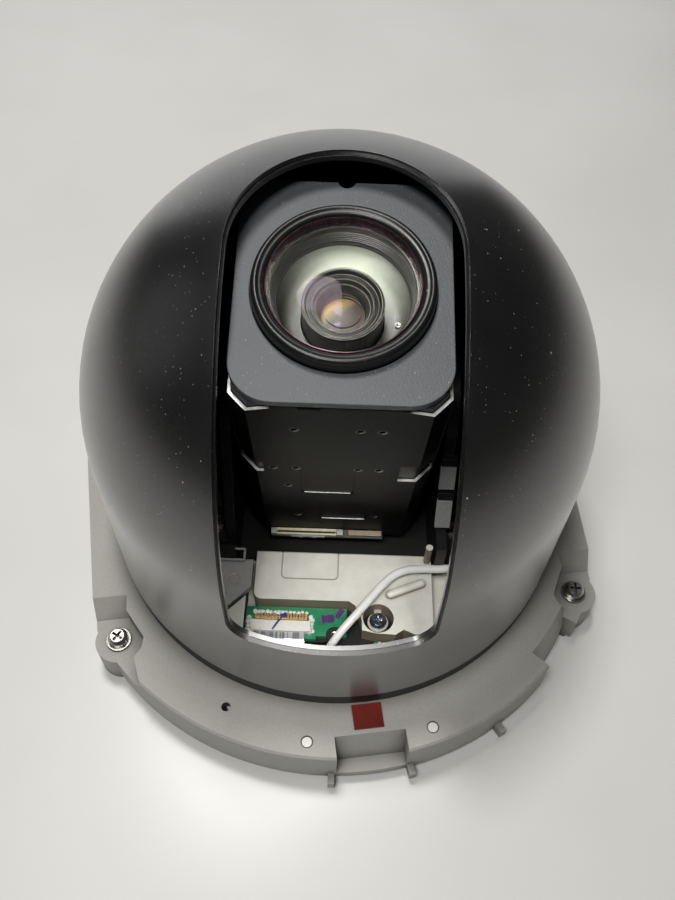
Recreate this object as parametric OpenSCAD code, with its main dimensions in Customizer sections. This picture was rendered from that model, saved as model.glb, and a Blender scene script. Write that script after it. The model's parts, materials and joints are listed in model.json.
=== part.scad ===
// Pan-tilt-zoom dome camera, standing on its base with the dome up and the clear bubble off.
// Origin: centre of the base's underside. +Z up through the dome, the lens slot faces -Y.
// Units: millimetres. The head is drawn with its lens along +Z and then tipped to its rest angle.

/* [Overall] */
// Height of the tilt axis above the base underside
axis_z = 69; // [68.8:0.1:69.4]
// Angle of the lens from straight up, at rest
rest_tilt = 14; // [4:1:20]
// Turn of the fixed base about the pan axis, at rest
base_turn = 8.5; // [-20:0.5:20]

/* [Dome shroud] */
// Outer radius of the shroud
dome_r = 70; // [69.5:0.1:71]
// Thickness of the shroud's wall
dome_wall = 2.5; // [2:0.1:2.6]
// Height of the shroud's lower edge
seam_z = 23.1; // [23:0.1:24]
// Half of the lens slot's width
slot_half = 26.4; // [25.8:0.1:27]
// Height of the slot's lower edge
slot_low_z = 52; // [50:0.5:55]
// Corner radius at the slot's lower edge
slot_corner_r = 6; // [3:0.5:8]
// Plan centre of the slot's round end, behind the front
slot_end_y = -10.5; // [-13:0.5:-8]

/* [Base] */
// Outer radius of the base rim
base_r = 85.2; // [84.8:0.1:86]
// Height of the base rim
base_h = 17; // [16.9:0.1:17.1]
// Radius of the circle that the cover screws stand on
screw_ring_r = 81.2; // [80.6:0.1:81.6]
// Diameter of the circle of the underside mounting holes
mount_pcd = 124; // [123:0.5:125]
// Radius of the mounting holes, tapped M4
mount_hole_r = 1.65; // [1.6:0.05:2]

/* [Camera head] */
// Width of the lens front plate
plate_w = 49.2; // [48:0.2:50]
// Lens axis to the front plate's top edge
plate_top = 29.2; // [28.6:0.1:29.4]
// Lens axis to the front plate's bottom edge
plate_low = 28.2; // [27.9:0.1:28.4]
// Front plate's face, from the tilt axis
plate_z = 54.4; // [54:0.1:54.6]
// Outer radius of the lens barrel
barrel_r = 20.7; // [20.4:0.1:21]
// Front rim of the lens barrel, from the tilt axis
barrel_z = 58; // [57.5:0.1:58.6]

/* [Drives] */
// Tip radius of the fixed pan pulley
pan_pulley_r = 31; // [30.6:0.1:31.4]
// Tip radius of the pan motor's pulley
pan_pinion_r = 5.6; // [5.4:0.1:5.8]
// Tip radius of the tilt pulley
tilt_pulley_r = 13; // [12.6:0.1:13.4]
// Tip radius of the tilt motor's pulley
tilt_pinion_r = 5; // [4.8:0.1:5.2]

/* [Hidden] */
$fn = 64;
gap = 0.3;        // clearance between bodies that pass each other
fit = 0.05;       // radial clearance of a shaft in its bearing
eps = 0.5;        // how far a cutter passes a face

deck_r = 66;      // inner radius of the base rim's deck
deck_t = 3;       // thickness of the deck
well_r = 80.6;    // inner radius of the base rim's wall
floor_t = 3;      // thickness of the base floor
flat_angle = 85.8; // direction of the base's side flats, from the front
flat_r = 79.4;    // distance of the side flats from the pan axis
boss_r = 7;       // radius of a cover-screw boss
pocket_z = 11.6;  // floor height of the pocket around a cover screw
pillar_r = 4.5;   // radius of a mounting-hole pillar
inset_from = 40;  // the right side of the rim is set in from here, from the front
inset_sweep = 13.4;
pad_angle = 12.6; // direction of the rim pads, from the front
pad_ring_r = 80.8;
ledge_z = 5.6;    // height of the ledge in the latch notch
board_z = 4.6;    // underside of the main board
board_t = 1.6;    // thickness of the circuit boards
chip_z = board_z + board_t;

plate_floor_z = 15.5; // underside of the rotor chassis plate
plate_floor_t = 2.5;
pit_z = plate_floor_z + plate_floor_t;
chassis_r = 63.5;
shelf_z = 28;         // top of the front and side shelves
cover_z = 34;         // top of the cast chassis cover
pit_front = -31;      // front wall of the pit that the head swings in
arm_x = 29;           // inner face of a yoke arm
arm_t = 3;
arm_half = 26;        // half the depth of a yoke arm's foot
arm_knee_z = 42;      // where a yoke arm's edges start to lean in
arm_lean = 22.5;
bore_r = 17.5;        // bore of the lens barrel
tube_r = 9.6;         // outside of the zoom tube
reflector_screws = [115, -4]; // directions of the screws in the reflector
shaft_r = 4;
pan_motor_at = [47, 14];
tilt_motor_at = [2, 34]; // Y and Z of the tilt motor's shaft
board_boss = [0.8, -54.7]; // threaded boss that passes through the rotor board
pulley_x = -37;          // outer face of the tilt pulley

// Outlines and small helpers

module at_base() { rotate([0, 0, base_turn]) children(); }

// Places a child at an angle from the base's front, at a radius.
module polar(angle, radius) {
  at_base() rotate([0, 0, angle]) translate([0, -radius, 0]) rotate([0, 0, -90]) children();
}

// Frame of the connectors behind the base's right side wall, +Y pointing out to +X.
module side_port() { translate([0, 6, 0]) rotate([0, 0, -90]) children(); }

module head() { translate([0, 0, axis_z]) rotate([rest_tilt, 0, 0]) children(); }

// Turns a Z cylinder to lie along X.
module along_x() { rotate([0, 90, 0]) children(); }

module ring(outer, inner, low, high) {
  difference() {
    translate([0, 0, low]) cylinder(r = outer, h = high - low);
    translate([0, 0, low - eps]) cylinder(r = inner, h = high - low + 2 * eps);
  }
}

module box(x0, x1, y0, y1, z0, z1) {
  translate([x0, y0, z0]) cube([x1 - x0, y1 - y0, z1 - z0]);
}

// Rounded rectangle of a given half width, low and high edges and one radius for each end.
module round_plate(half, low, high, r_low, r_high) {
  union() {
    for (side = [-1, 1]) {
      translate([side * (half - r_low), low + r_low]) circle(r = r_low);
      translate([side * (half - r_high), high - r_high]) circle(r = r_high);
    }
    translate([-half, low + r_low]) square([2 * half, high - low - r_low - r_high]);
    translate([r_low - half, low]) square([2 * (half - r_low), r_low + 0.01]);
    translate([r_high - half, high - r_high]) square([2 * (half - r_high), r_high]);
  }
}

// Outline of a toothed pulley with square-shouldered teeth.
module toothed(tip, root, teeth) {
  step = 360 / teeth;
  polygon([for (i = [0 : teeth - 1], k = [0 : 3])
    let (a = step * (i + [0.05, 0.45, 0.6, 0.9][k]), r = k < 2 ? tip : root)
    [r * cos(a), r * sin(a)]]);
}

// Belt loop around two pulleys that lie on the X axis of its own frame.
module belt_loop(r_big, r_small, distance, thickness) {
  difference() {
    hull() {
      circle(r = r_big + gap + thickness, $fn = 96);
      translate([distance, 0]) circle(r = r_small + gap + thickness);
    }
    hull() {
      circle(r = r_big + gap, $fn = 96);
      translate([distance, 0]) circle(r = r_small + gap);
    }
  }
}

// Pan-head screw, its shank down along -Z from the seat at z = 0.
module screw(head_r, head_h, shank_r, length, drive_r) {
  difference() {
    union() {
      cylinder(r = head_r, h = head_h * 0.6);
      translate([0, 0, head_h * 0.6]) cylinder(r1 = head_r, r2 = head_r * 0.72, h = head_h * 0.4);
      translate([0, 0, -length]) cylinder(r = shank_r, h = length);
    }
    for (turn = [0, 90]) rotate([0, 0, turn])
      translate([-drive_r, -drive_r * 0.2, head_h * 0.45])
        cube([2 * drive_r, drive_r * 0.4, head_h]);
  }
}

// Base casting and what is fixed to it

// Plan of a base layer: a circle with a flat on each side.
module flat_sided(radius, flat) {
  difference() {
    circle(r = radius);
    for (side = [-1, 1]) rotate(side * flat_angle)
      translate([-60, -flat - 20]) square([120, 20]);
  }
}

module base_outline_cuts() {
  for (side = [-1, 1]) {
    rotate([0, 0, side * flat_angle]) translate([-60, -flat_r - 20, -eps])
      cube([120, 20, base_h + 2 * eps]);
  }
  rotate([0, 0, inset_from - 90]) rotate_extrude(angle = inset_sweep) polygon([
    [79, base_h + eps], [79, base_h], [81.8, 9], [82.4, -eps], [92, -eps], [92, base_h + eps]
  ]);
}

module base_rim() {
  difference() {
    rotate_extrude($fn = 128) polygon([
      [0, 0], [base_r - 1.4, 0], [base_r - 1, 1.8], [base_r + 0.3, 2.4], [base_r, base_h - 0.6],
      [base_r - 0.6, base_h], [deck_r, base_h], [deck_r, base_h - deck_t], [0, base_h - deck_t]
    ]);
    translate([0, 0, floor_t]) linear_extrude(base_h - deck_t - floor_t + 0.001)
      flat_sided(well_r, flat_r - 3);
    base_outline_cuts();
  }
}

module base_boss() { cylinder(r = boss_r, h = pocket_z); }

// Pocket around the rear cover screw.
module rear_pocket() {
  translate([0, 0, pocket_z]) {
    cylinder(r = boss_r - 0.1, h = 10);
    translate([-9.5, -5.4, 0]) cube([9.5, 10.8, 10]);
    translate([0, 0.1 - boss_r, 0]) cube([9, 2 * boss_r - 0.2, 10]);
  }
}

// Pocket around the right cover screw, with a ramp up to the deck behind it.
module side_pocket() {
  translate([0, 0, pocket_z]) linear_extrude(10) polygon([
    [67.4, -33.6], [62.2, -42.8], [62.8, -46], [65, -48.8], [63.4, -56.4], [70, -63], [95, -52],
    [95, -33.6]
  ]);
  translate([67.4, 0, 0]) rotate([90, 0, 90]) linear_extrude(28) polygon([
    [-28.4, base_h + 0.2], [-33.7, pocket_z], [-33.7, base_h + 0.2]
  ]);
}

// Webs inside the rim that back the pockets, the inset and the notch.
module rim_webs() {
  for (side = [0, 1]) mirror([side, 0, 0]) rotate([0, 0, 60])
    box(-11, 17, -82, -72, pocket_z - 3, 15);
  rotate([0, 0, 180]) box(-9, 9, -82, -69, pocket_z - 3, 15);
  rotate([0, 0, inset_from - 91]) rotate_extrude(angle = inset_sweep + 2)
    translate([77.2, 8]) square([4, 7]);
  box(-12, 12, -81, -76.8, 6.6, 15);
}

module base_casting() {
  color("#a7a59b") difference() {
    union() {
      at_base() base_rim();
      for (angle = [-60, 60, 180]) polar(angle, screw_ring_r) base_boss();
      at_base() difference() {
        rim_webs();
        base_outline_cuts();
      }
      ring(27.4, 24, floor_t - 0.01, 14);
      for (angle = [45 : 90 : 315]) polar(angle, mount_pcd / 2) cylinder(r = pillar_r, h = 11);
      for (angle = [20 : 60 : 320]) polar(angle, 45) cylinder(r = 3, h = board_z);
      at_base() for (angle = [-7.7, 7.5, 26.8, 128, -150]) rotate([0, 0, angle])
        box(-0.9, 0.9, -base_r - 3.3, -base_r + 1.5, 1.6, 5.4);
    }
    for (angle = [-60, 60, 180]) polar(angle, screw_ring_r)
      translate([0, 0, 4]) cylinder(r = 2.05, h = 20);
    polar(180, screw_ring_r) rear_pocket();
    at_base() {
      for (side = [0, 1]) mirror([side, 0, 0]) side_pocket();
      notch_cut();
      for (angle = [-pad_angle, pad_angle]) rotate([0, 0, angle])
        translate([0, -pad_ring_r, base_h - 0.6]) cylinder(r = 1.75, h = 2);
      rotate([0, 0, -30.5]) translate([0, -77.2, 10]) cylinder(r = 1.3, h = 10);
    }
    side_port() box(-27, 11, 70, 90, 3.4, 13.6);
    for (angle = [45 : 90 : 315]) polar(angle, mount_pcd / 2)
      translate([0, 0, -eps]) cylinder(r = mount_hole_r, h = 9 + eps);
    for (angle = [20 : 60 : 320]) polar(angle, 45)
      translate([0, 0, 1]) cylinder(r = 1.3, h = 6);
    for (angle = [35, 125, 215, 305]) at_base() rotate([0, 0, angle])
      translate([48, 0, -eps]) cylinder(r = 9, h = 1 + eps);
  }
}

// Latch notch in the front of the rim: a leaning back wall over a low ledge.
module notch_cut() {
  translate([-10, 0, 0]) rotate([90, 0, 90]) linear_extrude(20) polygon([
    [-78.4, base_h + eps], [-78.4, base_h], [-81.3, ledge_z], [-base_r - 3, ledge_z],
    [-base_r - 3, base_h + eps]
  ]);
}

module collar_ring() {
  color("#1c1c1e") ring(69.7, 66.4, base_h, seam_z - 0.5);
}

module cover_screws() {
  color("#b9bbbd") for (angle = [-60, 60, 180]) polar(angle, screw_ring_r)
    translate([0, 0, pocket_z + 0.8]) rotate([0, 0, 20]) screw(2.9, 2.6, 2, 8.2, 1.7);
}

module cover_washers() {
  color("#8d8f92") for (angle = [-60, 60, 180]) polar(angle, screw_ring_r)
    translate([0, 0, pocket_z]) ring(3.7, 2.05, 0, 0.8);
}

module rim_pads() {
  color("#e8e8e2") at_base() for (angle = [-pad_angle, pad_angle]) rotate([0, 0, angle])
    translate([0, -pad_ring_r, base_h - 0.6]) cylinder(r = 1.4, h = 0.5);
}

module tape_marker() {
  color("#b3281f") at_base() box(-4.2, 4.2, -77.2, -70.2, base_h, base_h + 0.2);
}

module mainboard() {
  color("#1f6b45") difference() {
    at_base() translate([0, 0, board_z]) linear_extrude(board_t) flat_sided(78, flat_r - 4);
    translate([0, 0, board_z - eps]) cylinder(r = 28.5, h = 4);
    for (angle = [-60, 60, 180]) polar(angle, screw_ring_r)
      translate([0, 0, board_z - eps]) cylinder(r = boss_r + 1, h = 4);
    for (angle = [45 : 90 : 315]) polar(angle, mount_pcd / 2)
      translate([0, 0, board_z - eps]) cylinder(r = pillar_r + 0.6, h = 4);
    for (angle = [20 : 60 : 320]) polar(angle, 45)
      translate([0, 0, board_z - eps]) cylinder(r = 1.35, h = 4);
    side_port() box(-8.6, 8.6, 57.6, 90, board_z - eps, board_z + 4);
    at_base() box(-13, 13, -90, -76, board_z - eps, board_z + 4);
  }
}

module mainboard_screws() {
  color("#c2c4c6") for (angle = [20 : 60 : 320]) polar(angle, 45)
    translate([0, 0, chip_z]) screw(2.4, 1.7, 1.25, 4.6, 1.2);
}

module board_chips() {
  color("#26272b") at_base() {
    for (k = [0 : 4]) rotate([0, 0, 50 + 34 * k]) box(33, 41.6, -5, 5, chip_z, chip_z + 1.4);
    for (k = [0 : 7]) rotate([0, 0, 232 + 14 * k]) box(49, 53, -1.6, 1.6, chip_z, chip_z + 1.1);
    for (k = [0 : 5]) rotate([0, 0, 240 + 20 * k]) box(32, 37, -2.4, 2.4, chip_z, chip_z + 1);
  }
}

module board_capacitors() {
  color("#3a3f52") at_base() for (angle = [24, 31, 38, 170, 178, 186])
    rotate([0, 0, angle]) translate([68, 0, chip_z]) cylinder(r = 3.2, h = 7.2);
}

module network_jack() {
  color("#b7babd") side_port() difference() {
    box(-8, 8, 58.4, 75.6, floor_t, 13.7);
    box(-5.9, 5.9, 63.6, 76, 5, 12);
  }
}

module power_terminal() {
  color("#2f8a4e") side_port() difference() {
    box(-24, -12.4, 61, 69.5, chip_z, 13.6);
    for (x = [-21, -15.4]) {
      translate([x, 65.2, 11]) cylinder(r = 1.6, h = 5);
      translate([x, 72, 8.8]) rotate([90, 0, 0]) cylinder(r = 1.3, h = 7);
    }
  }
}

module reset_switch() {
  color("#2b2b2e") at_base() rotate([0, 0, -30.5]) translate([0, -74.6, 0]) difference() {
    box(-3, 3, -2.9, 3, chip_z, chip_z + 3.4);
    translate([0, 0, chip_z + 1]) cylinder(r = 1.5 + fit, h = 4);
  }
}

module reset_plunger() {
  color("#d8d4c6") at_base() rotate([0, 0, -30.5]) translate([0, -74.6, chip_z + 1.6])
    cylinder(r = 1.5, h = 3);
}

module slip_ring_stator() {
  color("#3c3d41") difference() {
    union() {
      translate([0, 0, floor_t]) cylinder(r = 12.4, h = 1.2);
      translate([0, 0, floor_t]) cylinder(r = 11.4, h = 12);
    }
    translate([0, 0, floor_t + 1]) cylinder(r = 5.5, h = 14);
  }
}

module slip_ring_rotor() {
  color("#c9a94a") translate([0, 0, 4.6]) cylinder(r = 5, h = pit_z - 4.6);
}

module pan_bearing_outer() { color("#c8ccd0") ring(24, 20.4, 6, 13); }
module pan_bearing_inner() { color("#bfc4c8") ring(20, 16, 6, 13); }

module pan_pulley_fixed() {
  color("#202124") translate([0, 0, 9]) linear_extrude(4) difference() {
    toothed(pan_pulley_r, pan_pulley_r - 0.8, 96);
    circle(r = 27.4);
  }
}

// Pan rotor

// Side shelf between the pit and the chassis rim, drawn for the +X side.
module side_shelf() {
  difference() {
    intersection() {
      translate([0, 0, pit_z - 0.01]) cylinder(r = chassis_r, h = shelf_z - pit_z);
      box(arm_x + 0.2, 80, -44, 44, 0, 60);
    }
    box(arm_x + 4, 60, -12, 30, pit_z, 60);
  }
}

module front_shelf() {
  difference() {
    intersection() {
      translate([0, 0, pit_z - 0.01]) cylinder(r = chassis_r, h = shelf_z - pit_z);
      box(-46, 46, -80, pit_front, 0, 60);
    }
    translate([0, 0, plate_floor_z - eps]) intersection() {
      cylinder(r = chassis_r - 3, h = shelf_z - plate_floor_z - 2);
      box(-34, 34, -80, pit_front - 3, 0, 60);
    }
    translate([-1.2, -58.8, 19]) cylinder(r = 2.8, h = 20);
    box(-21.8, -2.2, -61, -56.3, 19, 40);
  }
}

module rotor_chassis() {
  color("#b5b3a8") difference() {
    union() {
      translate([0, 0, plate_floor_z]) cylinder(r = chassis_r, h = plate_floor_t);
      ring(16, 12.9, 4.8, plate_floor_z + 0.1);
      front_shelf();
      for (side = [0, 1]) mirror([side, 0, 0]) side_shelf();
      translate([board_boss.x, board_boss.y, shelf_z - 1]) cylinder(r = 1.9, h = 2.8);
      translate([0, 0, shelf_z - 1]) linear_extrude(3.2) polygon([
        [-24.9, -43.4], [-24.9, -54.8], [-30.4, -51.6], [-30.9, -49.6]
      ]);
      for (turn = [35, 145, 215, 325]) rotate([0, 0, turn])
        box(60, dome_r - dome_wall - 0.2, -4, 4, seam_z + 0.3, 30);
    }
    translate([0, 0, plate_floor_z - eps]) cylinder(r = 5.1, h = 4);
    translate([board_boss.x, board_boss.y, shelf_z - 1.6]) cylinder(r = 1, h = 5);
    translate([pan_motor_at.x, pan_motor_at.y, 0]) cylinder(r = 6.2, h = 30);
    for (x = [-16, 9]) translate([x, -38, 20]) cylinder(r = 1.3, h = 20);
    for (side = [-1, 1], y = [-20, 36]) translate([side * 35.4, y, 16.6]) cylinder(r = 1.3, h = 20);
    for (turn = [35, 145, 215, 325]) rotate([0, 0, turn]) translate([68, 0, 26.5])
      rotate([0, -90, 0]) cylinder(r = 1.05, h = 6);
    for (x = [-20, 20], y = [45, 55]) translate([x, y, plate_floor_z - eps]) cylinder(r = 3, h = 5);
  }
}

module slot_cut(half) {
  side_x = half - slot_corner_r;
  rotate([90, 0, 0]) translate([0, 0, -slot_end_y]) linear_extrude(100) union() {
    translate([-half, slot_low_z + slot_corner_r]) square([2 * half, 120]);
    translate([-side_x, slot_low_z]) square([2 * side_x, 20]);
    for (side = [-1, 1]) translate([side * side_x, slot_low_z + slot_corner_r])
      circle(r = slot_corner_r);
  }
  translate([0, slot_end_y, axis_z]) cylinder(r = half, h = 100);
}

module dome_solid(radius) {
  union() {
    intersection() {
      translate([0, 0, axis_z]) sphere(r = radius, $fn = 128);
      translate([0, 0, axis_z - 0.01]) cylinder(r = radius + 5, h = radius + 5);
    }
    translate([0, 0, seam_z - 5]) cylinder(r = radius, h = axis_z - seam_z + 5);
  }
}

module shroud() {
  rebate = 1.2;
  color("#1e1f21") difference() {
    dome_solid(dome_r);
    dome_solid(dome_r - dome_wall);
    translate([0, 0, seam_z - 20]) cylinder(r = dome_r + 5, h = 20);
    slot_cut(slot_half - 0.7);
    difference() {
      slot_cut(slot_half);
      dome_solid(dome_r - rebate);
    }
    for (turn = [35, 145, 215, 325]) rotate([0, 0, turn]) translate([60, 0, 26.5])
      rotate([0, 90, 0]) cylinder(r = 1.1, h = 12);
    for (turn = [35, 145, 215, 325]) rotate([0, 0, turn]) translate([dome_r - 1.9, 0, 26.5])
      rotate([0, 90, 0]) cylinder(r = 2.1, h = 4);
  }
}

module shroud_screws() {
  color("#3a3b3d") for (turn = [35, 145, 215, 325]) rotate([0, 0, turn])
    translate([dome_r - 1.9, 0, 26.5]) rotate([0, 90, 0]) union() {
      cylinder(r = 2, h = 1.7);
      translate([0, 0, -5]) cylinder(r = 1, h = 5);
    }
}

// Cast cover over the chassis front: a raised box on the left and a lower plate on the right.
module chassis_cover() {
  color("#b9b7ac") difference() {
    union() {
      translate([0, 0, shelf_z]) linear_extrude(cover_z - shelf_z) difference() {
        union() {
          translate([-22.4, -46.2]) square([50.6, 46.2 + pit_front]);
          polygon([
            [4.6, -46.2], [6.4, -47.4], [8.3, -51.8], [8.4, -54.8], [12.5, -55.6], [17.6, -55.8],
            [20, -54.2], [23, -55.6], [28.2, -54.8], [28.2, -40]
          ]);
        }
        translate([-22.4, -46.2]) square(2.2);
        translate([12.9, -51.1]) circle(r = 4.3);
      }
      translate([-20.2, -44, shelf_z]) cylinder(r = 2.2, h = cover_z - shelf_z);
      translate([12.9, -51.1, shelf_z]) cylinder(r = 2.9, h = 3.4);
      translate([27, -32.6, cover_z - 1]) cylinder(r = 1, h = 9);
      translate([12.9, -51.1, shelf_z]) box(-1, 1, 2, 5, 0, 2.6);
      translate([20.7, -42, cover_z + 0.3]) rotate([0, 0, 23]) cover_rib();
    }
    translate([12.9, -51.1, 20]) cylinder(r = 1.3, h = 20);
    for (x = [-16, 9]) translate([x, -38, 20]) cylinder(r = 1.3, h = 11);
    cover_groove();
    box(-20.4, 26, -44.4, pit_front - 2, shelf_z - eps, cover_z - 2.4);
  }
}

// Round-topped bar on the cover, half sunk in it.
module cover_rib() {
  rotate([0, 90, 0]) cylinder(r = 1.35, h = 9.6, center = true);
  for (x = [-4.8, 4.8]) translate([x, 0, 0]) sphere(r = 1.35);
}

// Shallow groove that outlines the rounded panel on the cover.
module cover_groove() {
  translate([0, 0, cover_z - 0.3]) linear_extrude(1) intersection() {
    difference() {
      translate([-6.8, 0]) round_plate(8.3, -39.8, -26, 1.6, 1.6);
      translate([-6.8, 0]) round_plate(7.9, -39.4, -26, 1.2, 1.2);
    }
    translate([-20, -42]) square([30, 11.4]);
  }
}

module chassis_screws() {
  color("#9fb0c8") translate([12.9, -51.1, shelf_z + 3.4]) screw(2.4, 1.8, 1.25, 3.3, 1.3);
}

module rotor_board() {
  color("#1f7a4c") difference() {
    translate([0, 0, shelf_z]) linear_extrude(board_t) intersection() {
      circle(r = 61);
      union() {
        translate([-24.4, -55]) square([28.6, 8.5]);
        translate([12, -59.2]) square([8.6, 3]);
        translate([-24.4, -56]) square([20, 2]);
      }
    }
    translate([board_boss.x, board_boss.y, shelf_z - eps]) cylinder(r = 2.2, h = 4);
  }
}

module flex_connector() {
  color("#efece0") union() {
    box(-22.6, -6, -54.6, -51.6, shelf_z + board_t, shelf_z + board_t + 2);
    box(-22.6, -6, -51.6, -51, shelf_z + board_t, shelf_z + board_t + 1);
    for (x = [-22.9, -6.7]) box(x, x + 1, -54.8, -51, shelf_z + board_t, shelf_z + board_t + 1.4);
  }
}

module flex_latch() {
  color("#c89a4a") union() {
    box(-21.6, -7, -50.9, -48.9, shelf_z + board_t, shelf_z + board_t + 1.6);
    for (k = [0 : 11]) box(-21 + 1.15 * k, -20.4 + 1.15 * k, -48.8, -48, chip_top(), chip_top() + 0.3);
  }
}

function chip_top() = shelf_z + board_t;

// Flat flex cable: leaves the connector, bends over the board's edge and goes down.
module flex_cable() {
  top = shelf_z + board_t + 1;
  color("#c9ccd2") translate([-21, 0, 0]) rotate([90, 0, 90]) linear_extrude(13.4) polygon([
    [-54.7, top], [-56.6, top], [-58, top - 0.6], [-58.8, top - 2], [-59, 20], [-59.25, 20],
    [-59.05, top - 1.9], [-58.2, top - 0.35], [-56.7, top + 0.3], [-54.7, top + 0.3]
  ]);
}

// White wire from the right yoke arm, over the cover and down past the front edge.
wire_r = 1.15;
wire_route = [
  [38, -35.6, 36.4], [34, -36, 36.6], [30, -36.6, 36.8], [25.6, -36.8, 37], [21, -37.4, 37.2],
  [17, -39.2, 37],
  [13, -43.2, 36.6], [9.5, -47.6, 36.2], [6, -51.6, 35.2], [3, -54.8, 33.8], [0.6, -57.4, 31.6],
  [-0.8, -58.6, 28.6], [-1.4, -58.9, 25.5], [-1.6, -58.8, 22.6]
];
wire_steps = 3;

// Catmull-Rom point on the route, t counted in route points.
function on_route(t) =
  let (last = len(wire_route) - 1, i = min(floor(t), last - 1), u = t - i,
    a = wire_route[max(i - 1, 0)], b = wire_route[i], c = wire_route[i + 1],
    d = wire_route[min(i + 2, last)])
  0.5 * ((2 * b) + (c - a) * u + (2 * a - 5 * b + 4 * c - d) * u * u
    + (3 * b - a - 3 * c + d) * u * u * u);
function unit(v) = v / norm(v);

module white_wire() {
  sides = 8;
  count = (len(wire_route) - 1) * wire_steps;
  rings = [for (i = [0 : count])
    let (p = on_route(i / wire_steps),
      q = unit(on_route(min(i + 0.5, count) / wire_steps)
        - on_route(max(i - 0.5, 0) / wire_steps)),
      n = unit(cross(q, [0.3, 0.9, 0.35])), m = cross(q, n))
    [for (k = [0 : sides - 1]) p + wire_r * (cos(45 * k) * n + sin(45 * k) * m)]];
  points = [for (one = rings, p = one) p];
  walls = [for (i = [0 : count - 1], k = [0 : sides - 1])
    let (j = (k + 1) % sides)
    each [[i * sides + k, i * sides + j, (i + 1) * sides + j],
      [i * sides + k, (i + 1) * sides + j, (i + 1) * sides + k]]];
  first = [for (k = [sides - 1 : -1 : 0]) k];
  last = [for (k = [0 : sides - 1]) count * sides + k];
  color("#f2f2ee") polyhedron(points = points, faces = concat([first], walls, [last]));
}

module wire_plug() {
  color("#e9e6da") difference() {
    box(38, 45, -38.6, -32.6, shelf_z, shelf_z + 11);
    box(41, 46, -37.6, -33.6, shelf_z + 9, shelf_z + 12);
  }
}

// One yoke arm for the -X side: foot on the side shelf, bearing eye at the tilt axis.
module yoke_arm() {
  difference() {
    union() {
      translate([-arm_x, 0, 0]) rotate([90, 0, -90]) linear_extrude(arm_t) union() {
        translate([0, axis_z]) circle(r = 14.5);
        polygon([
          [-arm_half, shelf_z], [arm_half, shelf_z], [arm_half, arm_knee_z], [13.6, 72],
          [-13.6, 72], [-arm_half, arm_knee_z]
        ]);
      }
      box(-arm_x - 12, -arm_x, -arm_half, -14, shelf_z, shelf_z + 2.4);
      box(-arm_x - 10, -arm_x, 32, 41, shelf_z, shelf_z + 2.4);
      box(-arm_x - arm_t, -arm_x, 20, 41, shelf_z, shelf_z + 8);
    }
    translate([-arm_x + 1, 0, axis_z]) rotate([0, -90, 0]) cylinder(r = 7.6, h = arm_t + 2);
    for (y = [-20, 36]) translate([-35.4, y, shelf_z - 1]) cylinder(r = 1.3, h = 6);
  }
}

module yoke_left() { color("#151618") yoke_arm(); }

module yoke_right() {
  color("#17181a") mirror([1, 0, 0]) union() {
    yoke_arm();
    box(-arm_x - 3, -arm_x, -33.5, -arm_half, shelf_z, arm_knee_z);
    translate([-arm_x, -arm_half, arm_knee_z]) rotate([-arm_lean, 0, 0])
      for (low = [11.2, 22.4]) box(-3.9, 0.6, -1.9, 0.5, low, low + 2.2);
  }
}

module yoke_screws() {
  color("#c2c4c6") for (side = [-1, 1], y = [-20, 36])
    translate([side * 35.4, y, shelf_z + 2.4]) screw(2.5, 1.8, 1.25, 8, 1.3);
}

module tilt_bearings() {
  color("#c8ccd0") for (side = [-1, 1]) translate([side * arm_x, 0, axis_z])
    rotate([0, side * 90, 0]) ring(7.6, shaft_r + fit, 0, arm_t);
}

module tilt_motor() {
  color("#2a2b2e") translate([-59, tilt_motor_at.x, tilt_motor_at.y]) along_x() difference() {
    union() {
      translate([-10, -10, 0]) cube([20, 20, 18.5]);
      translate([0, 0, 18.5]) cylinder(r = 7, h = 1.2);
    }
    translate([0, 0, 4]) cylinder(r = 1.5 + fit, h = 30);
  }
}

module tilt_motor_bracket() {
  color("#8e9196") difference() {
    union() {
      box(-40.5, -39.1, -9, 13, shelf_z - 9.9, 46);
      box(-40.5, -34, -9, 13, pit_z, pit_z + 1.2);
    }
    translate([-42, tilt_motor_at.x, tilt_motor_at.y]) along_x() cylinder(r = 7, h = 6);
  }
}

module tilt_motor_shaft() {
  color("#d0d2d4") translate([-54.5, tilt_motor_at.x, tilt_motor_at.y]) along_x() union() {
    cylinder(r = 1.5, h = 21.5);
    translate([0, 0, 17.6]) linear_extrude(3.6)
      toothed(tilt_pinion_r, tilt_pinion_r - 0.7, 16);
  }
}

module tilt_pulley() {
  color("#232427") translate([pulley_x, 0, axis_z]) along_x() linear_extrude(3.6) difference() {
    toothed(tilt_pulley_r, tilt_pulley_r - 0.7, 42);
    circle(r = shaft_r);
  }
}

module tilt_belt() {
  rise = axis_z - tilt_motor_at.y;
  reach = sqrt(rise * rise + tilt_motor_at.x * tilt_motor_at.x);
  lean = atan2(tilt_motor_at.x, rise);
  color("#0f1011") translate([pulley_x + 0.3, 0, axis_z]) along_x() rotate([0, 0, lean])
    linear_extrude(3) belt_loop(tilt_pulley_r, tilt_pinion_r, reach, 1);
}

module pan_motor() {
  color("#2a2b2e") translate([pan_motor_at.x, pan_motor_at.y, pit_z]) difference() {
    translate([-9.5, -9.5, 0]) cube([19, 19, 26]);
    translate([0, 0, -1]) cylinder(r = 1.5 + fit, h = 18);
  }
}

module pan_motor_shaft() {
  color("#d0d2d4") translate([pan_motor_at.x, pan_motor_at.y, 0]) union() {
    translate([0, 0, 9]) linear_extrude(4) toothed(pan_pinion_r, pan_pinion_r - 0.8, 17);
    translate([0, 0, 9]) cylinder(r = 1.5, h = 24);
  }
}

module pan_belt() {
  reach = norm(pan_motor_at);
  color("#0f1011") rotate([0, 0, atan2(pan_motor_at.y, pan_motor_at.x)])
    translate([0, 0, 9.4]) linear_extrude(3.2) belt_loop(pan_pulley_r, pan_pinion_r, reach, 1);
}

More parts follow.
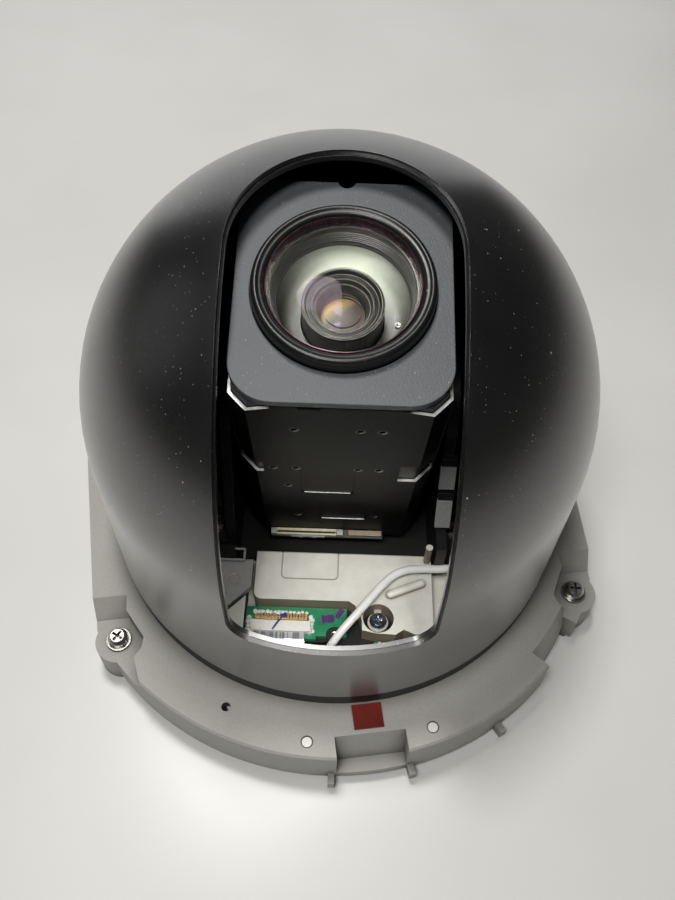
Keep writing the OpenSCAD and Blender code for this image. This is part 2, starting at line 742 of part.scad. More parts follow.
// Grey sheet bracket beside the cover, left of the slot.
module side_bracket() {
  color("#8f9093") difference() {
    translate([0, 0, shelf_z]) linear_extrude(2.6) polygon([
      [-34, -32], [-23.6, -32], [-23.6, -40.6], [-31.4, -48.6], [-38, -44.6]
    ]);
    translate([-28.6, -38.6, shelf_z + 2.2]) cylinder(r = 1.7, h = 2);
    translate([-31.5, -43.4, shelf_z + 2.2]) cylinder(r = 1, h = 2);
  }
}

// Foam strips on the slanted front edge of the right yoke arm.
module foam_pads() {
  color("#6d6f73") translate([arm_x - 0.6, -arm_half, arm_knee_z]) rotate([-arm_lean, 0, 0])
    for (span = [[1, 10.4], [14.2, 21.6]]) box(0, 4.4, -1.3, -0.02, span[0], span[1]);
}

// Camera head, drawn with the lens along +Z and the tilt axis through the origin

module front_plate() {
  color("#33363d") head() translate([0, 0, plate_z - 2.2]) linear_extrude(2.2) difference() {
    round_plate(plate_w / 2, -plate_low, plate_top, 10, 8);
    circle(r = barrel_r + 0.2);
    translate([0, plate_top + 0.4]) circle(r = 2);
  }
}

module lens_barrel() {
  color("#141517") head() rotate_extrude() polygon([
    [14.8, 33], [barrel_r, 33], [barrel_r, barrel_z - 0.8], [barrel_r - 0.7, barrel_z],
    [barrel_r - 1.1, barrel_z], [bore_r + 0.3, barrel_z - 0.9], [bore_r, barrel_z - 1.4],
    [bore_r, 45.9], [14.8, 38.7]
  ]);
}

// Front element: a thin shell between two nearly equal spheres.
module front_glass() {
  crown = barrel_z - 0.6;
  color("#8fa0a8", 0.4) head() intersection() {
    difference() {
      translate([0, 0, crown - 90]) sphere(r = 90);
      translate([0, 0, crown - 1.8 - 88]) sphere(r = 88);
    }
    translate([0, 0, 50]) cylinder(r = bore_r - 0.1, h = 10);
  }
}

module baffle_rings() {
  ribs = [for (k = [0 : 4]) each [[15.6 + 0.12 * k, 49.6 + 0.8 * k], [15.9 + 0.12 * k, 49.9 + 0.8 * k],
    [15.9 + 0.12 * k, 50.3 + 0.8 * k]]];
  color("#2b2926") head() rotate_extrude() polygon(concat(
    [[bore_r - 0.1, 53.8], [bore_r - 0.1, 48.4], [15.2, 48.4], [15.2, 49.4]], ribs, [[16.4, 53.8]]
  ));
}

// Bowl-shaped reflector around the zoom tube.
module reflector_ring() {
  color("#cfd3bf") head() difference() {
    rotate_extrude() polygon([
      [tube_r + 0.35, 38.8], [14.6, 38.8], [bore_r - 0.1, 46.2], [bore_r - 0.1, 47.8], [16.9, 47.8],
      [14.2, 40.2], [tube_r + 0.35, 40.2]
    ]);
    for (angle = reflector_screws) rotate([0, 0, angle])
      translate([13.1, 0, 36]) cylinder(r = 0.6, h = 10);
  }
}

module block_housing() {
  front = plate_z - 2.3;
  color("#1a1b1d") head() difference() {
    union() {
      box(-23.6, 23.6, -23.6, 28.4, -35.6, front);
      translate([0, 0, -35.6]) linear_extrude(front + 35.6)
        polygon([[-23.6, -23.5], [-19.9, -27.4], [19.9, -27.4], [23.6, -23.5]]);
    }
    box(-22, 22, -22, 26.8, -34, 30.5);
    translate([0, 0, 20]) cylinder(r = barrel_r + 0.02, h = 40);
    translate([0, 0, 20]) cylinder(r = 15.5, h = 20);
    box(-16, 14, -21, -15, -40, -30);
  }
}

// Sheet cover folded around the housing's underside: a U with chamfered bends, a stepped rear
// edge, corner windows and pressed dimples.
module underside_panel() {
  dimples = [
    [-10.1, 40.4], [4.9, 40.4], [9.9, 40.4], [-16.1, 16], [-10.3, 16], [5.2, 16], [10.5, 16],
    [-12.8, 3], [-10.9, -22.2], [11.3, -22.2]
  ];
  color("#1d1e20") head() difference() {
    translate([0, 0, -40.6]) linear_extrude(92.5) difference() {
      polygon([[-24.6, 2], [-24.6, -24], [-20.4, -28.3], [20.4, -28.3], [24.6, -24], [24.6, 2]]);
      polygon([[-23.8, 3], [-23.8, -23.6], [-20, -27.5], [20, -27.5], [23.8, -23.6], [23.8, 3]]);
    }
    box(-30, 14.6, -30, 5, -42, -36.4);
    box(-30, 30, -10, 5, 16, 52);
    box(-30, 30, -22, 5, -42, -20);
    box(-30, -18.6, -30, -22.6, 13, 19.4);
    box(15.6, 30, -30, -22.6, 8.6, 19.2);
    for (side = [0, 1]) mirror([side, 0, 0]) translate([0, -9, 0]) rotate([90, 0, 0])
      linear_extrude(22) polygon([[13, 53], [13, 51.9], [21, 49.6], [30, 49.6], [30, 53]]);
    box(-9, -4.2, -30, -26, 50.9, 53);
    for (spot = dimples) translate([spot.x, -27.8, spot.y]) rotate([90, 0, 0])
      cylinder(r = 0.7, h = 2);
    panel_window(-2.4, 5.6, 7, 8);
    panel_window(2.2, -17.4, 7, 8);
  }
}

// Shallow sunk window in the cover, centred at x and z.
module panel_window(x, z, half_x, half_z) {
  translate([x, -28, z]) rotate([90, 0, 0]) linear_extrude(1)
    round_plate(half_x, -half_z, half_z, 0.8, 1.6);
}

// Side plates that carry the tilt trunnions.
module head_bracket() {
  color("#17181a") head() for (side = [0, 1]) mirror([side, 0, 0]) difference() {
    union() {
      box(24.7, 26.1, -20, 13, -10, 14);
      box(24.7, 26.1, -20, -9, 13.9, 40);
    }
    for (z = [-7.6, 9.6]) translate([24, 9.4, z]) along_x() cylinder(r = 1, h = 4);
  }
}

module rear_board() {
  color("#1f6b45") head() union() {
    box(-21, 21, -24, 22, -37.2, -35.6);
    box(-19.4, 14.6, -30.6, -20, -38.2, -37.1);
  }
}

module rear_connectors() {
  color("#d9c58a") head() union() {
    box(-17.6, 0.4, -30.4, -28.6, -37.1, -35.7);
    box(4.4, 14, -30, -28.6, -37.1, -36);
    for (x = [-19.2, 1]) box(x, x + 1.3, -30.3, -28.6, -37.1, -36.2);
    box(-17.6, 0.2, -26.6, -22.4, -39.8, -38.2);
    box(2.6, 13.6, -26.4, -22.6, -39.6, -38.2);
    box(-12, 12, 12, 17, -40.2, -37.2);
  }
}

module head_screws() {
  color("#b9bbbd") head() union() {
    for (side = [-1, 1], z = [-7.6, 9.6]) translate([side * 26.1, 9.4, z])
      rotate([0, side * 90, 0]) screw(1.6, 1, 0.9, 0.6, 0.9);
    for (angle = reflector_screws) rotate([0, 0, angle]) translate([13.1, 0, 40.2])
      screw(0.9, 0.6, 0.5, 1.2, 0.5);
  }
}

module guide_rods() {
  color("#cfd2d4") head() for (side = [-1, 1]) translate([side * 17, 0, -34])
    cylinder(r = 1, h = 62);
}

module tilt_trunnions() {
  color("#9a9da0") head() for (side = [-1, 1]) rotate([0, side * 90, 0]) union() {
    translate([0, 0, 26.1]) cylinder(r = 7.4, h = 1.7);
    translate([0, 0, 27.8]) cylinder(r = shaft_r, h = side < 0 ? 9.2 : 5.2);
  }
}

// Moving lens cells on two guide rods

module lens_cell(outer, inner, low, high) {
  difference() {
    union() {
      ring(outer, inner, low, high);
      translate([0, 0, low + 1]) intersection() {
        cylinder(r = outer - 0.5, h = high - low - 3);
        box(-20, 20, -20, 20, 0, 20);
      }
      for (side = [-1, 1]) translate([side * 17, 0, low]) cylinder(r = 2.4, h = high - low);
      box(-17, -outer + 0.6, -1.2, 1.2, low, high - 2);
      box(outer - 0.6, 17, -1.2, 1.2, low, high - 2);
    }
    for (side = [-1, 1]) translate([side * 17, 0, low - 1])
      cylinder(r = 1 + fit, h = high - low + 2);
  }
}

// The zoom cell carries the stepped tube seen behind the front element.
module zoom_group() {
  color("#3a3330") head() union() {
    lens_cell(10, 8, 16, 28);
    rotate_extrude() polygon([
      [0, 25.9], [tube_r, 25.9], [tube_r, 47.2], [tube_r - 0.4, 47.7], [8.8, 47.7], [8.4, 46.9],
      [6.9, 46.3], [6.6, 44.4], [5, 41.4], [0, 41.4]
    ]);
  }
}

module focus_group() { color("#30302e") head() lens_cell(9, 6, -8, 0); }

base_casting();
collar_ring();
cover_screws();
cover_washers();
rim_pads();
tape_marker();
mainboard();
mainboard_screws();
board_chips();
board_capacitors();
network_jack();
power_terminal();
reset_switch();
slip_ring_stator();
pan_bearing_outer();
pan_pulley_fixed();
reset_plunger();
rotor_chassis();
shroud();
shroud_screws();
chassis_cover();
chassis_screws();
rotor_board();
flex_connector();
flex_latch();
flex_cable();
white_wire();
wire_plug();
yoke_left();
yoke_right();
yoke_screws();
tilt_bearings();
tilt_motor();
tilt_motor_bracket();
tilt_belt();
pan_motor();
pan_belt();
pan_bearing_inner();
slip_ring_rotor();
side_bracket();
foam_pads();
pan_motor_shaft();
tilt_motor_shaft();
front_plate();
lens_barrel();
front_glass();
baffle_rings();
reflector_ring();
block_housing();
underside_panel();
head_bracket();
rear_board();
rear_connectors();
head_screws();
guide_rods();
tilt_trunnions();
tilt_pulley();
zoom_group();
focus_group();
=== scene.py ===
"""Looks of the pan-tilt-zoom dome camera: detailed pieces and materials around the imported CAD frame.

Lengths are metres in the CAD frame: +Z up, the lens slot towards -Y. Lengths that belong to a
piece are written in millimetres times MM.
"""
import json
import math
import random

import bmesh
import bpy
from mathutils import Matrix, Vector


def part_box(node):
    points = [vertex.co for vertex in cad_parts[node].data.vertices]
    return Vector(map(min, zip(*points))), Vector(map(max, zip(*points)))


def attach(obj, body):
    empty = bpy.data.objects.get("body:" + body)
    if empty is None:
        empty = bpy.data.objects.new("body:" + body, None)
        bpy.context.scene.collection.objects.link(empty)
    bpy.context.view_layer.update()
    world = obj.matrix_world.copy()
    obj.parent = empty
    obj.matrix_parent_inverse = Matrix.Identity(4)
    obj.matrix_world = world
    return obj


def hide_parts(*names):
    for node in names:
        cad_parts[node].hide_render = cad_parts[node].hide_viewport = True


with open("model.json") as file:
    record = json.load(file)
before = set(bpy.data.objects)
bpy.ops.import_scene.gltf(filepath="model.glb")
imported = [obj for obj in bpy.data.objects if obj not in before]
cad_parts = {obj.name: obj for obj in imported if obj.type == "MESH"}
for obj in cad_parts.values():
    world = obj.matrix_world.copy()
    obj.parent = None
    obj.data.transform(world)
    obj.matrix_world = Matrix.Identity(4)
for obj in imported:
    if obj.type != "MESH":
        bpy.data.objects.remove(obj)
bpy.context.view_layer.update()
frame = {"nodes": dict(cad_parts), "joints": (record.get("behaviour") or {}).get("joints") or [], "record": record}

MM = 0.001
NODES = frame["nodes"]
JOINTS = {joint["name"]: joint for joint in frame["joints"]}
BODIES = frame["record"]["behaviour"]["bodies"]
BODY_OF = {node: body for body, nodes in BODIES.items() for node in nodes}

# Frames that the object's parts are drawn in
TILT_AXIS = Vector(JOINTS["tilt"]["pos_m"])
LENS_DIRECTION = Vector(JOINTS["zoom_drive"]["axis"]).normalized()
REST_TILT = math.atan2(-LENS_DIRECTION.y, LENS_DIRECTION.z)
HEAD = Matrix.Translation(TILT_AXIS) @ Matrix.Rotation(REST_TILT, 4, "X")
ROTOR = Matrix()


# Camera, at the photograph's viewing angle

def add_camera():
    """Looks down at the front of the dome from close by."""
    distance = 0.2417
    elevation = math.radians(50.44)
    azimuth = math.radians(-0.26)
    pitch = math.radians(-3.66)
    roll = math.radians(2.14)
    data = bpy.data.cameras.new("camera")
    data.sensor_fit = "VERTICAL"
    data.sensor_height = 36
    data.lens = 34.4
    data.clip_start = 0.01
    data.clip_end = 50
    camera = bpy.data.objects.new("camera", data)
    bpy.context.scene.collection.objects.link(camera)
    back = Vector((math.sin(azimuth) * math.cos(elevation), -math.cos(azimuth) * math.cos(elevation),
                   math.sin(elevation)))
    turn = (Matrix.Rotation(azimuth, 4, "Z") @ Matrix.Rotation(math.pi / 2 - elevation + pitch, 4, "X")
            @ Matrix.Rotation(roll, 4, "Z"))
    camera.matrix_world = Matrix.Translation(TILT_AXIS + distance * back) @ turn
    bpy.context.scene.camera = camera


add_camera()


# Materials: a Principled shader whose colour, roughness and height come from patterns in the
# object's own space

class Surface:
    """A material in the making; keyword arguments set the shader's constant sockets."""

    def __init__(self, name, **sockets):
        self.material = bpy.data.materials.new(name)
        self.material.use_nodes = True
        self.tree = self.material.node_tree
        self.shader = self.tree.nodes["Principled BSDF"]
        for socket, value in sockets.items():
            self.shader.inputs[socket.replace("_", " ")].default_value = value
        self.place = self.node("TexCoord").outputs["Object"]

    def node(self, kind, **settings):
        node = self.tree.nodes.new("ShaderNode" + kind)
        for key, value in settings.items():
            setattr(node, key, value)
        return node

    def feed(self, socket, value):
        """Links or sets a socket."""
        if isinstance(value, bpy.types.NodeSocket):
            self.tree.links.new(value, socket)
        else:
            socket.default_value = value

    def stretched(self, scale):
        """The object's own coordinates, scaled differently along its axes."""
        mapping = self.node("Mapping")
        self.feed(mapping.inputs["Vector"], self.place)
        mapping.inputs["Scale"].default_value = scale
        return mapping.outputs["Vector"]

    def noise(self, scale, detail=3, roughness=0.55, place=None):
        """Soft cloudy pattern with values around 0.5."""
        node = self.node("TexNoise")
        self.feed(node.inputs["Vector"], place or self.place)
        node.inputs["Scale"].default_value = scale
        node.inputs["Detail"].default_value = detail
        node.inputs["Roughness"].default_value = roughness
        return node.outputs["Fac"]

    def cells(self, scale):
        """Distance from the nearest of scattered points, and a random value for each."""
        node = self.node("TexVoronoi")
        self.feed(node.inputs["Vector"], self.place)
        node.inputs["Scale"].default_value = scale
        return node.outputs["Distance"], node.outputs["Color"]

    def spread(self, value, low, high, to_low=0.0, to_high=1.0):
        """Maps a range of values onto another one, held at its ends."""
        node = self.node("MapRange")
        self.feed(node.inputs["Value"], value)
        limits = {"From Min": low, "From Max": high, "To Min": to_low, "To Max": to_high}
        for socket, number in limits.items():
            node.inputs[socket].default_value = number
        return node.outputs["Result"]

    def math(self, operation, a, b):
        node = self.node("Math", operation=operation)
        self.feed(node.inputs[0], a)
        self.feed(node.inputs[1], b)
        return node.outputs["Value"]

    def mix(self, factor, a, b):
        node = self.node("Mix", data_type="RGBA")
        self.feed(node.inputs["Factor"], factor)
        self.feed(node.inputs[6], a)
        self.feed(node.inputs[7], b)
        return node.outputs[2]

    def specks(self, scale, size, share):
        """Mask of small round specks: one cell in so many, up to a size within its cell."""
        distance, colour = self.cells(scale)
        split = self.node("SeparateColor")
        self.feed(split.inputs["Color"], colour)
        chosen = self.spread(split.outputs["Red"], share, share * 0.98)
        small = self.math("MULTIPLY", split.outputs["Green"], size)
        inside = self.math("LESS_THAN", distance, small)
        return self.math("MULTIPLY", inside, chosen)

    def dusty(self, ground, strength):
        """Pale dust over a ground colour: many tiny specks, fewer larger ones, thicker in patches."""
        patches = self.spread(self.noise(70, 2), 0.35, 0.65, 0.35, 1.0)
        tiny = self.math("MULTIPLY", self.specks(1100, 0.2, 0.4), 0.6)
        both = self.math("MAXIMUM", tiny, self.specks(330, 0.1, 0.22))
        amount = self.math("MULTIPLY", self.math("MULTIPLY", both, patches), strength)
        return self.mix(amount, ground, rgb(0.5, 0.49, 0.46))

    def local(self, frame_of_part):
        """Coordinates in the frame of a part, as a vector and its three components."""
        inverse = frame_of_part.inverted()
        mapping = self.node("Mapping")
        self.feed(mapping.inputs["Vector"], self.place)
        mapping.inputs["Rotation"].default_value = inverse.to_euler()
        mapping.inputs["Location"].default_value = inverse.translation
        split = self.node("SeparateXYZ")
        self.feed(split.inputs["Vector"], mapping.outputs["Vector"])
        return mapping.outputs["Vector"], split.outputs

    def shaded_in_recesses(self, ground, reach, dark, low=0.25, high=0.9):
        """Painted shade: darkens a colour in recesses, where other surfaces stand close around."""
        node = self.node("AmbientOcclusion", samples=6)
        node.inputs["Distance"].default_value = reach
        return self.mix(self.spread(node.outputs["AO"], low, high), dark, ground)

    def bump(self, height, distance):
        node = self.node("Bump")
        self.feed(node.inputs["Height"], height)
        node.inputs["Distance"].default_value = distance
        self.feed(self.shader.inputs["Normal"], node.outputs["Normal"])

    def colour(self, value):
        self.feed(self.shader.inputs["Base Color"], value)

    def roughness(self, value):
        self.feed(self.shader.inputs["Roughness"], value)


def rgb(red, green, blue):
    return (red, green, blue, 1.0)


def grained(name, dark, light, rough, grain=900, bump=0.00004, patch=60, dust=0.0, recess_shade=None, **sockets):
    """A plain finish: fine grain over wide faint patches, with dust specks and painted shade in recesses if
    wanted.
    rough is the lowest and highest roughness, bump a height in metres, recess_shade the reach of that painted
    shade."""
    surface = Surface(name, **sockets)
    fine = surface.noise(grain, 2)
    wide = surface.noise(patch, 3)
    both = surface.math("ADD", surface.math("MULTIPLY", fine, 0.5), surface.math("MULTIPLY", wide, 0.5))
    ground = surface.mix(surface.spread(both, 0.3, 0.7), rgb(*dark), rgb(*light))
    if dust:
        ground = surface.dusty(ground, dust)
    # Painted shade: the colour darkens in recesses, where other surfaces stand close around.
    if recess_shade:
        ground = surface.shaded_in_recesses(ground, recess_shade, rgb(*(0.12 * part for part in dark)))
    surface.colour(ground)
    surface.roughness(surface.spread(both, 0.3, 0.7, rough[0], rough[1]))
    surface.bump(fine, bump)
    return surface.material


def satin_shroud():
    """Satin black moulding under a clear coat, with dust, faint scuffs and a pale band low down that is a painted
    reflection of the table.
    """
    surface = Surface("satin_shroud", IOR=1.75, Coat_Weight=1.0, Coat_IOR=1.55, Coat_Roughness=0.3)
    fine = surface.noise(2600, 2)
    wide = surface.noise(38, 4)
    ground = surface.mix(surface.spread(wide, 0.3, 0.7), rgb(0.003, 0.003, 0.0034), rgb(0.006, 0.006, 0.006))
    strokes = surface.noise(60, 2, 0.5, surface.stretched((9, 0.6, 0.6)))
    scuffs = surface.math("MULTIPLY", surface.spread(strokes, 0.70, 0.76), surface.spread(wide, 0.5, 0.6))
    ground = surface.mix(surface.math("MULTIPLY", scuffs, 0.10), ground, rgb(0.3, 0.3, 0.29))
    # Painted reflection: a pale band low down stands in for the table's reflection.
    table_reflection_band = surface.spread(surface.local(ROTOR)[1]["Z"], 62 * MM, 34 * MM, 0.0, 0.24)
    film = surface.math("MULTIPLY", table_reflection_band, surface.spread(wide, 0.3, 0.7, 0.7, 1.0))
    ground = surface.mix(film, ground, rgb(0.3, 0.3, 0.29))
    surface.colour(surface.dusty(ground, 0.8))
    surface.roughness(surface.spread(wide, 0.3, 0.7, 0.28, 0.36))
    surface.bump(fine, 0.00002)
    return surface.material


def cast_metal():
    """Bare casting with painted shade: darker in recesses, brown on its sides, black in the head's pit and on the
    shelf but for two ledges.
    """
    surface = Surface("cast_metal", Metallic=0.25)
    fine = surface.noise(1500, 3, 0.7)
    wide = surface.noise(120, 4)
    bare = surface.mix(surface.spread(wide, 0.3, 0.7), rgb(0.68, 0.67, 0.61), rgb(0.82, 0.81, 0.74))
    # Painted shade: darker in recesses, where other surfaces stand close around.
    bare = surface.shaded_in_recesses(bare, 2.2 * MM, rgb(0.16, 0.14, 0.11))
    # Painted shade: faces that do not look upwards turn brown.
    split = surface.node("SeparateXYZ")
    surface.feed(split.inputs["Vector"], surface.node("TexCoord").outputs["Normal"])
    bare = surface.mix(surface.spread(split.outputs["Z"], 0.2, 0.7), rgb(0.26, 0.22, 0.16), bare)
    # Painted shade: black in the head's pit and on the shelf under the cover, but for two ledges.
    axes = surface.local(ROTOR)[1]
    pit_front, shelf_top, ledge_left, ledge_right = -31.15 * MM, 28.3 * MM, -23.25 * MM, 28.1 * MM
    behind = surface.spread(axes["Y"], pit_front - 0.25 * MM, pit_front + 0.25 * MM)
    beside = surface.math("ABSOLUTE", surface.math("SUBTRACT", axes["X"], ledge_left), 0.0)
    off_left = surface.spread(beside, 1.05 * MM, 1.15 * MM)
    off_right = surface.spread(axes["X"], ledge_right + 0.1 * MM, ledge_right - 0.1 * MM)
    under = surface.spread(axes["Z"], shelf_top + 0.2 * MM, shelf_top - 0.2 * MM)
    below = surface.math("MULTIPLY", under, surface.math("MULTIPLY", off_left, off_right))
    surface.colour(surface.mix(surface.math("MAXIMUM", behind, below), bare, rgb(0.008, 0.008, 0.008)))
    surface.roughness(surface.spread(fine, 0.3, 0.7, 0.48, 0.62))
    surface.bump(fine, 0.00008)
    return surface.material


def pale_bowl():
    """The pale ring round the zoom tube, with painted light and shade: bright towards its back, dark towards its
    front and its sides.
    """
    surface = Surface("pale_ring")
    fine = surface.noise(700, 3)
    axes = surface.local(HEAD)[1]
    aside = surface.math("ABSOLUTE", surface.math("ADD", axes["X"], -1.5 * MM), 0.0)
    slope = surface.math("SUBTRACT", axes["Y"], surface.math("MULTIPLY", aside, 0.5))
    slope = surface.math("ADD", slope, surface.math("MULTIPLY", fine, 2 * MM))
    # Painted light and shade: bright towards the back of the ring, dark towards its front and sides.
    share = surface.math("POWER", surface.spread(slope, -9 * MM, 13.5 * MM), 2.0)
    surface.colour(surface.mix(share, rgb(0.03, 0.031, 0.024), rgb(0.93, 0.97, 0.83)))
    surface.roughness(surface.spread(fine, 0.3, 0.7, 0.42, 0.5))
    surface.bump(fine, 0.00001)
    return surface.material


def printed_film():
    """Flat flex cable: pale film with fine dark conductors along it."""
    surface = Surface("flex_film", Metallic=0.4)
    tracks = surface.noise(1600, 0, 0.5, surface.stretched((1, 0.01, 0.01)))
    ground = surface.mix(surface.spread(tracks, 0.45, 0.55), rgb(0.26, 0.27, 0.28), rgb(0.5, 0.52, 0.54))
    surface.colour(ground)
    surface.roughness(surface.spread(tracks, 0.3, 0.7, 0.22, 0.34))
    return surface.material


def amber_disc():
    """Coated glass deep in the zoom tube: brown, with a painted amber reflection on one side, streaked outwards.
    """
    surface = Surface("amber_glass", Roughness=0.4)
    vector, axes = surface.local(HEAD)
    turn = surface.node("TexGradient", gradient_type="RADIAL")
    surface.feed(turn.inputs["Vector"], vector)
    around = surface.node("CombineXYZ")
    surface.feed(around.inputs["X"], surface.math("MULTIPLY", turn.outputs["Fac"], 26))
    streaks = surface.noise(1, 3, 0.6, around.outputs["Vector"])
    # Painted reflection: the amber patch on the lit side stands in for the coating's reflection.
    upward = surface.math("MULTIPLY", axes["Y"], 0.8)
    aside = surface.math("SUBTRACT", upward, surface.math("MULTIPLY", axes["X"], 0.6))
    lit_side = surface.spread(aside, 0.6 * MM, 3 * MM)
    amber = surface.math("MULTIPLY", lit_side, surface.spread(streaks, 0.3, 0.6, 0.7, 1.0))
    dark, light = rgb(0.016, 0.009, 0.006), rgb(0.034, 0.019, 0.012)
    brown = surface.mix(surface.spread(streaks, 0.4, 0.65), dark, light)
    surface.colour(surface.mix(amber, brown, rgb(0.2, 0.125, 0.035)))
    return surface.material


def cut_sheet():
    """Edges of the head's sheet cover: bare at its corners and windows, black along its middle."""
    surface = Surface("bare_cut_edge", Metallic=0.3, Roughness=0.36)
    fine = surface.noise(700, 3)
    axes = surface.local(HEAD)[1]
    middle = surface.spread(surface.math("ABSOLUTE", axes["X"], 0.0), 16 * MM, 15 * MM)
    front = surface.spread(axes["Z"], 47 * MM, 48 * MM)
    bare = surface.mix(surface.spread(fine, 0.3, 0.7), rgb(0.55, 0.55, 0.53), rgb(0.9, 0.9, 0.88))
    surface.colour(surface.mix(surface.math("MULTIPLY", middle, front), bare, rgb(0.01, 0.01, 0.01)))
    surface.bump(fine, 0.00003)
    return surface.material


def coated_glass(name, clear, tint):
    """Glass with an anti-reflection coating: its reflections are faint and tinted."""
    surface = Surface(name, IOR=1.5, Transmission_Weight=1.0, Specular_Tint=tint)
    wide = surface.noise(70, 2)
    surface.colour(surface.mix(wide, clear, rgb(1, 1, 1)))
    surface.roughness(surface.spread(wide, 0.3, 0.7, 0.0, 0.015))
    return surface.material


MATERIALS = {
    # The grey paint is darkened in its recesses: painted shade.
    "painted_casting": grained("grey_paint", (0.34, 0.33, 0.305), (0.40, 0.39, 0.365), (0.5, 0.62), 1400,
                               recess_shade=6 * MM),
    "cast_aluminium": cast_metal(),
    "shroud_plastic": satin_shroud(),
    "black_plastic": grained("black_moulding", (0.004, 0.004, 0.005), (0.008, 0.008, 0.009), (0.4, 0.5),
                             1200, IOR=1.42),
    "plate_plastic": grained("plate_paint", (0.070, 0.077, 0.086), (0.098, 0.105, 0.116), (0.45, 0.55),
                             2400, 0.00009, 60, 1.0),
    "black_sheet": grained("black_sheet", (0.002, 0.002, 0.002), (0.005, 0.005, 0.005), (0.4, 0.5), 1800,
                           0.00001, 50, 0.2, IOR=1.2),
    "lens_black": grained("lens_black", (0.006, 0.006, 0.006), (0.012, 0.012, 0.012), (0.3, 0.4), 1400,
                          0.00001, 60, 0.5),
    "lens_glass": coated_glass("clear_glass", rgb(0.97, 0.99, 0.98), (0.03, 0.015, 0.03, 1.0)),
    "pale_plastic": pale_bowl(),
    # The bright steel is darkened in its recesses: painted shade.
    "steel": grained("bright_steel", (0.36, 0.35, 0.32), (0.62, 0.61, 0.58), (0.24, 0.36), 900, 0.00001,
                     recess_shade=1.2 * MM, Metallic=1.0),
    "dark_steel": grained("dark_steel", (0.06, 0.06, 0.065), (0.1, 0.1, 0.105), (0.3, 0.45), 900,
                          Metallic=1.0),
    "blue_steel": grained("blue_zinc", (0.35, 0.42, 0.6), (0.65, 0.7, 0.78), (0.18, 0.3), 700, 0.00001,
                          Metallic=1.0),
    "sheet_steel": grained("sheet_steel", (0.4, 0.4, 0.41), (0.5, 0.5, 0.51), (0.3, 0.4), 900, 0.00001,
                           Metallic=1.0),
    "brass_contacts": grained("brass", (0.6, 0.42, 0.15), (0.75, 0.55, 0.25), (0.25, 0.35), 900, 0.00001,
                              Metallic=1.0),
    "circuit_board": grained("green_board", (0.01, 0.14, 0.06), (0.03, 0.26, 0.12), (0.3, 0.4), 500,
                             0.00001),
    "chip_plastic": grained("chip_plastic", (0.012, 0.012, 0.014), (0.02, 0.02, 0.022), (0.5, 0.6)),
    "green_plastic": grained("green_plastic", (0.02, 0.2, 0.08), (0.03, 0.26, 0.11), (0.35, 0.45)),
    "white_plastic": grained("white_plastic", (0.7, 0.69, 0.64), (0.8, 0.79, 0.75), (0.35, 0.45)),
    "amber_plastic": grained("amber_plastic", (0.5, 0.3, 0.1), (0.65, 0.42, 0.18), (0.3, 0.4)),
    "flex_film": printed_film(),
    "wire_sheath": grained("white_sheath", (0.74, 0.74, 0.72), (0.82, 0.82, 0.81), (0.28, 0.36), 500,
                           0.00001),
    # The grey bracket is darkened in its recesses: painted shade.
    "grey_plastic": grained("grey_bracket", (0.36, 0.36, 0.35), (0.46, 0.46, 0.45), (0.35, 0.5),
                            recess_shade=1.5 * MM),
    "foam": grained("grey_foam", (0.2, 0.2, 0.205), (0.3, 0.3, 0.305), (0.8, 0.95), 1600, 0.0002),
    "belt_rubber": grained("belt_rubber", (0.008, 0.008, 0.008), (0.015, 0.015, 0.015), (0.6, 0.75)),
    "red_tape": grained("red_tape", (0.11, 0.008, 0.004), (0.16, 0.012, 0.006), (0.5, 0.6), 900, IOR=1.3),
}

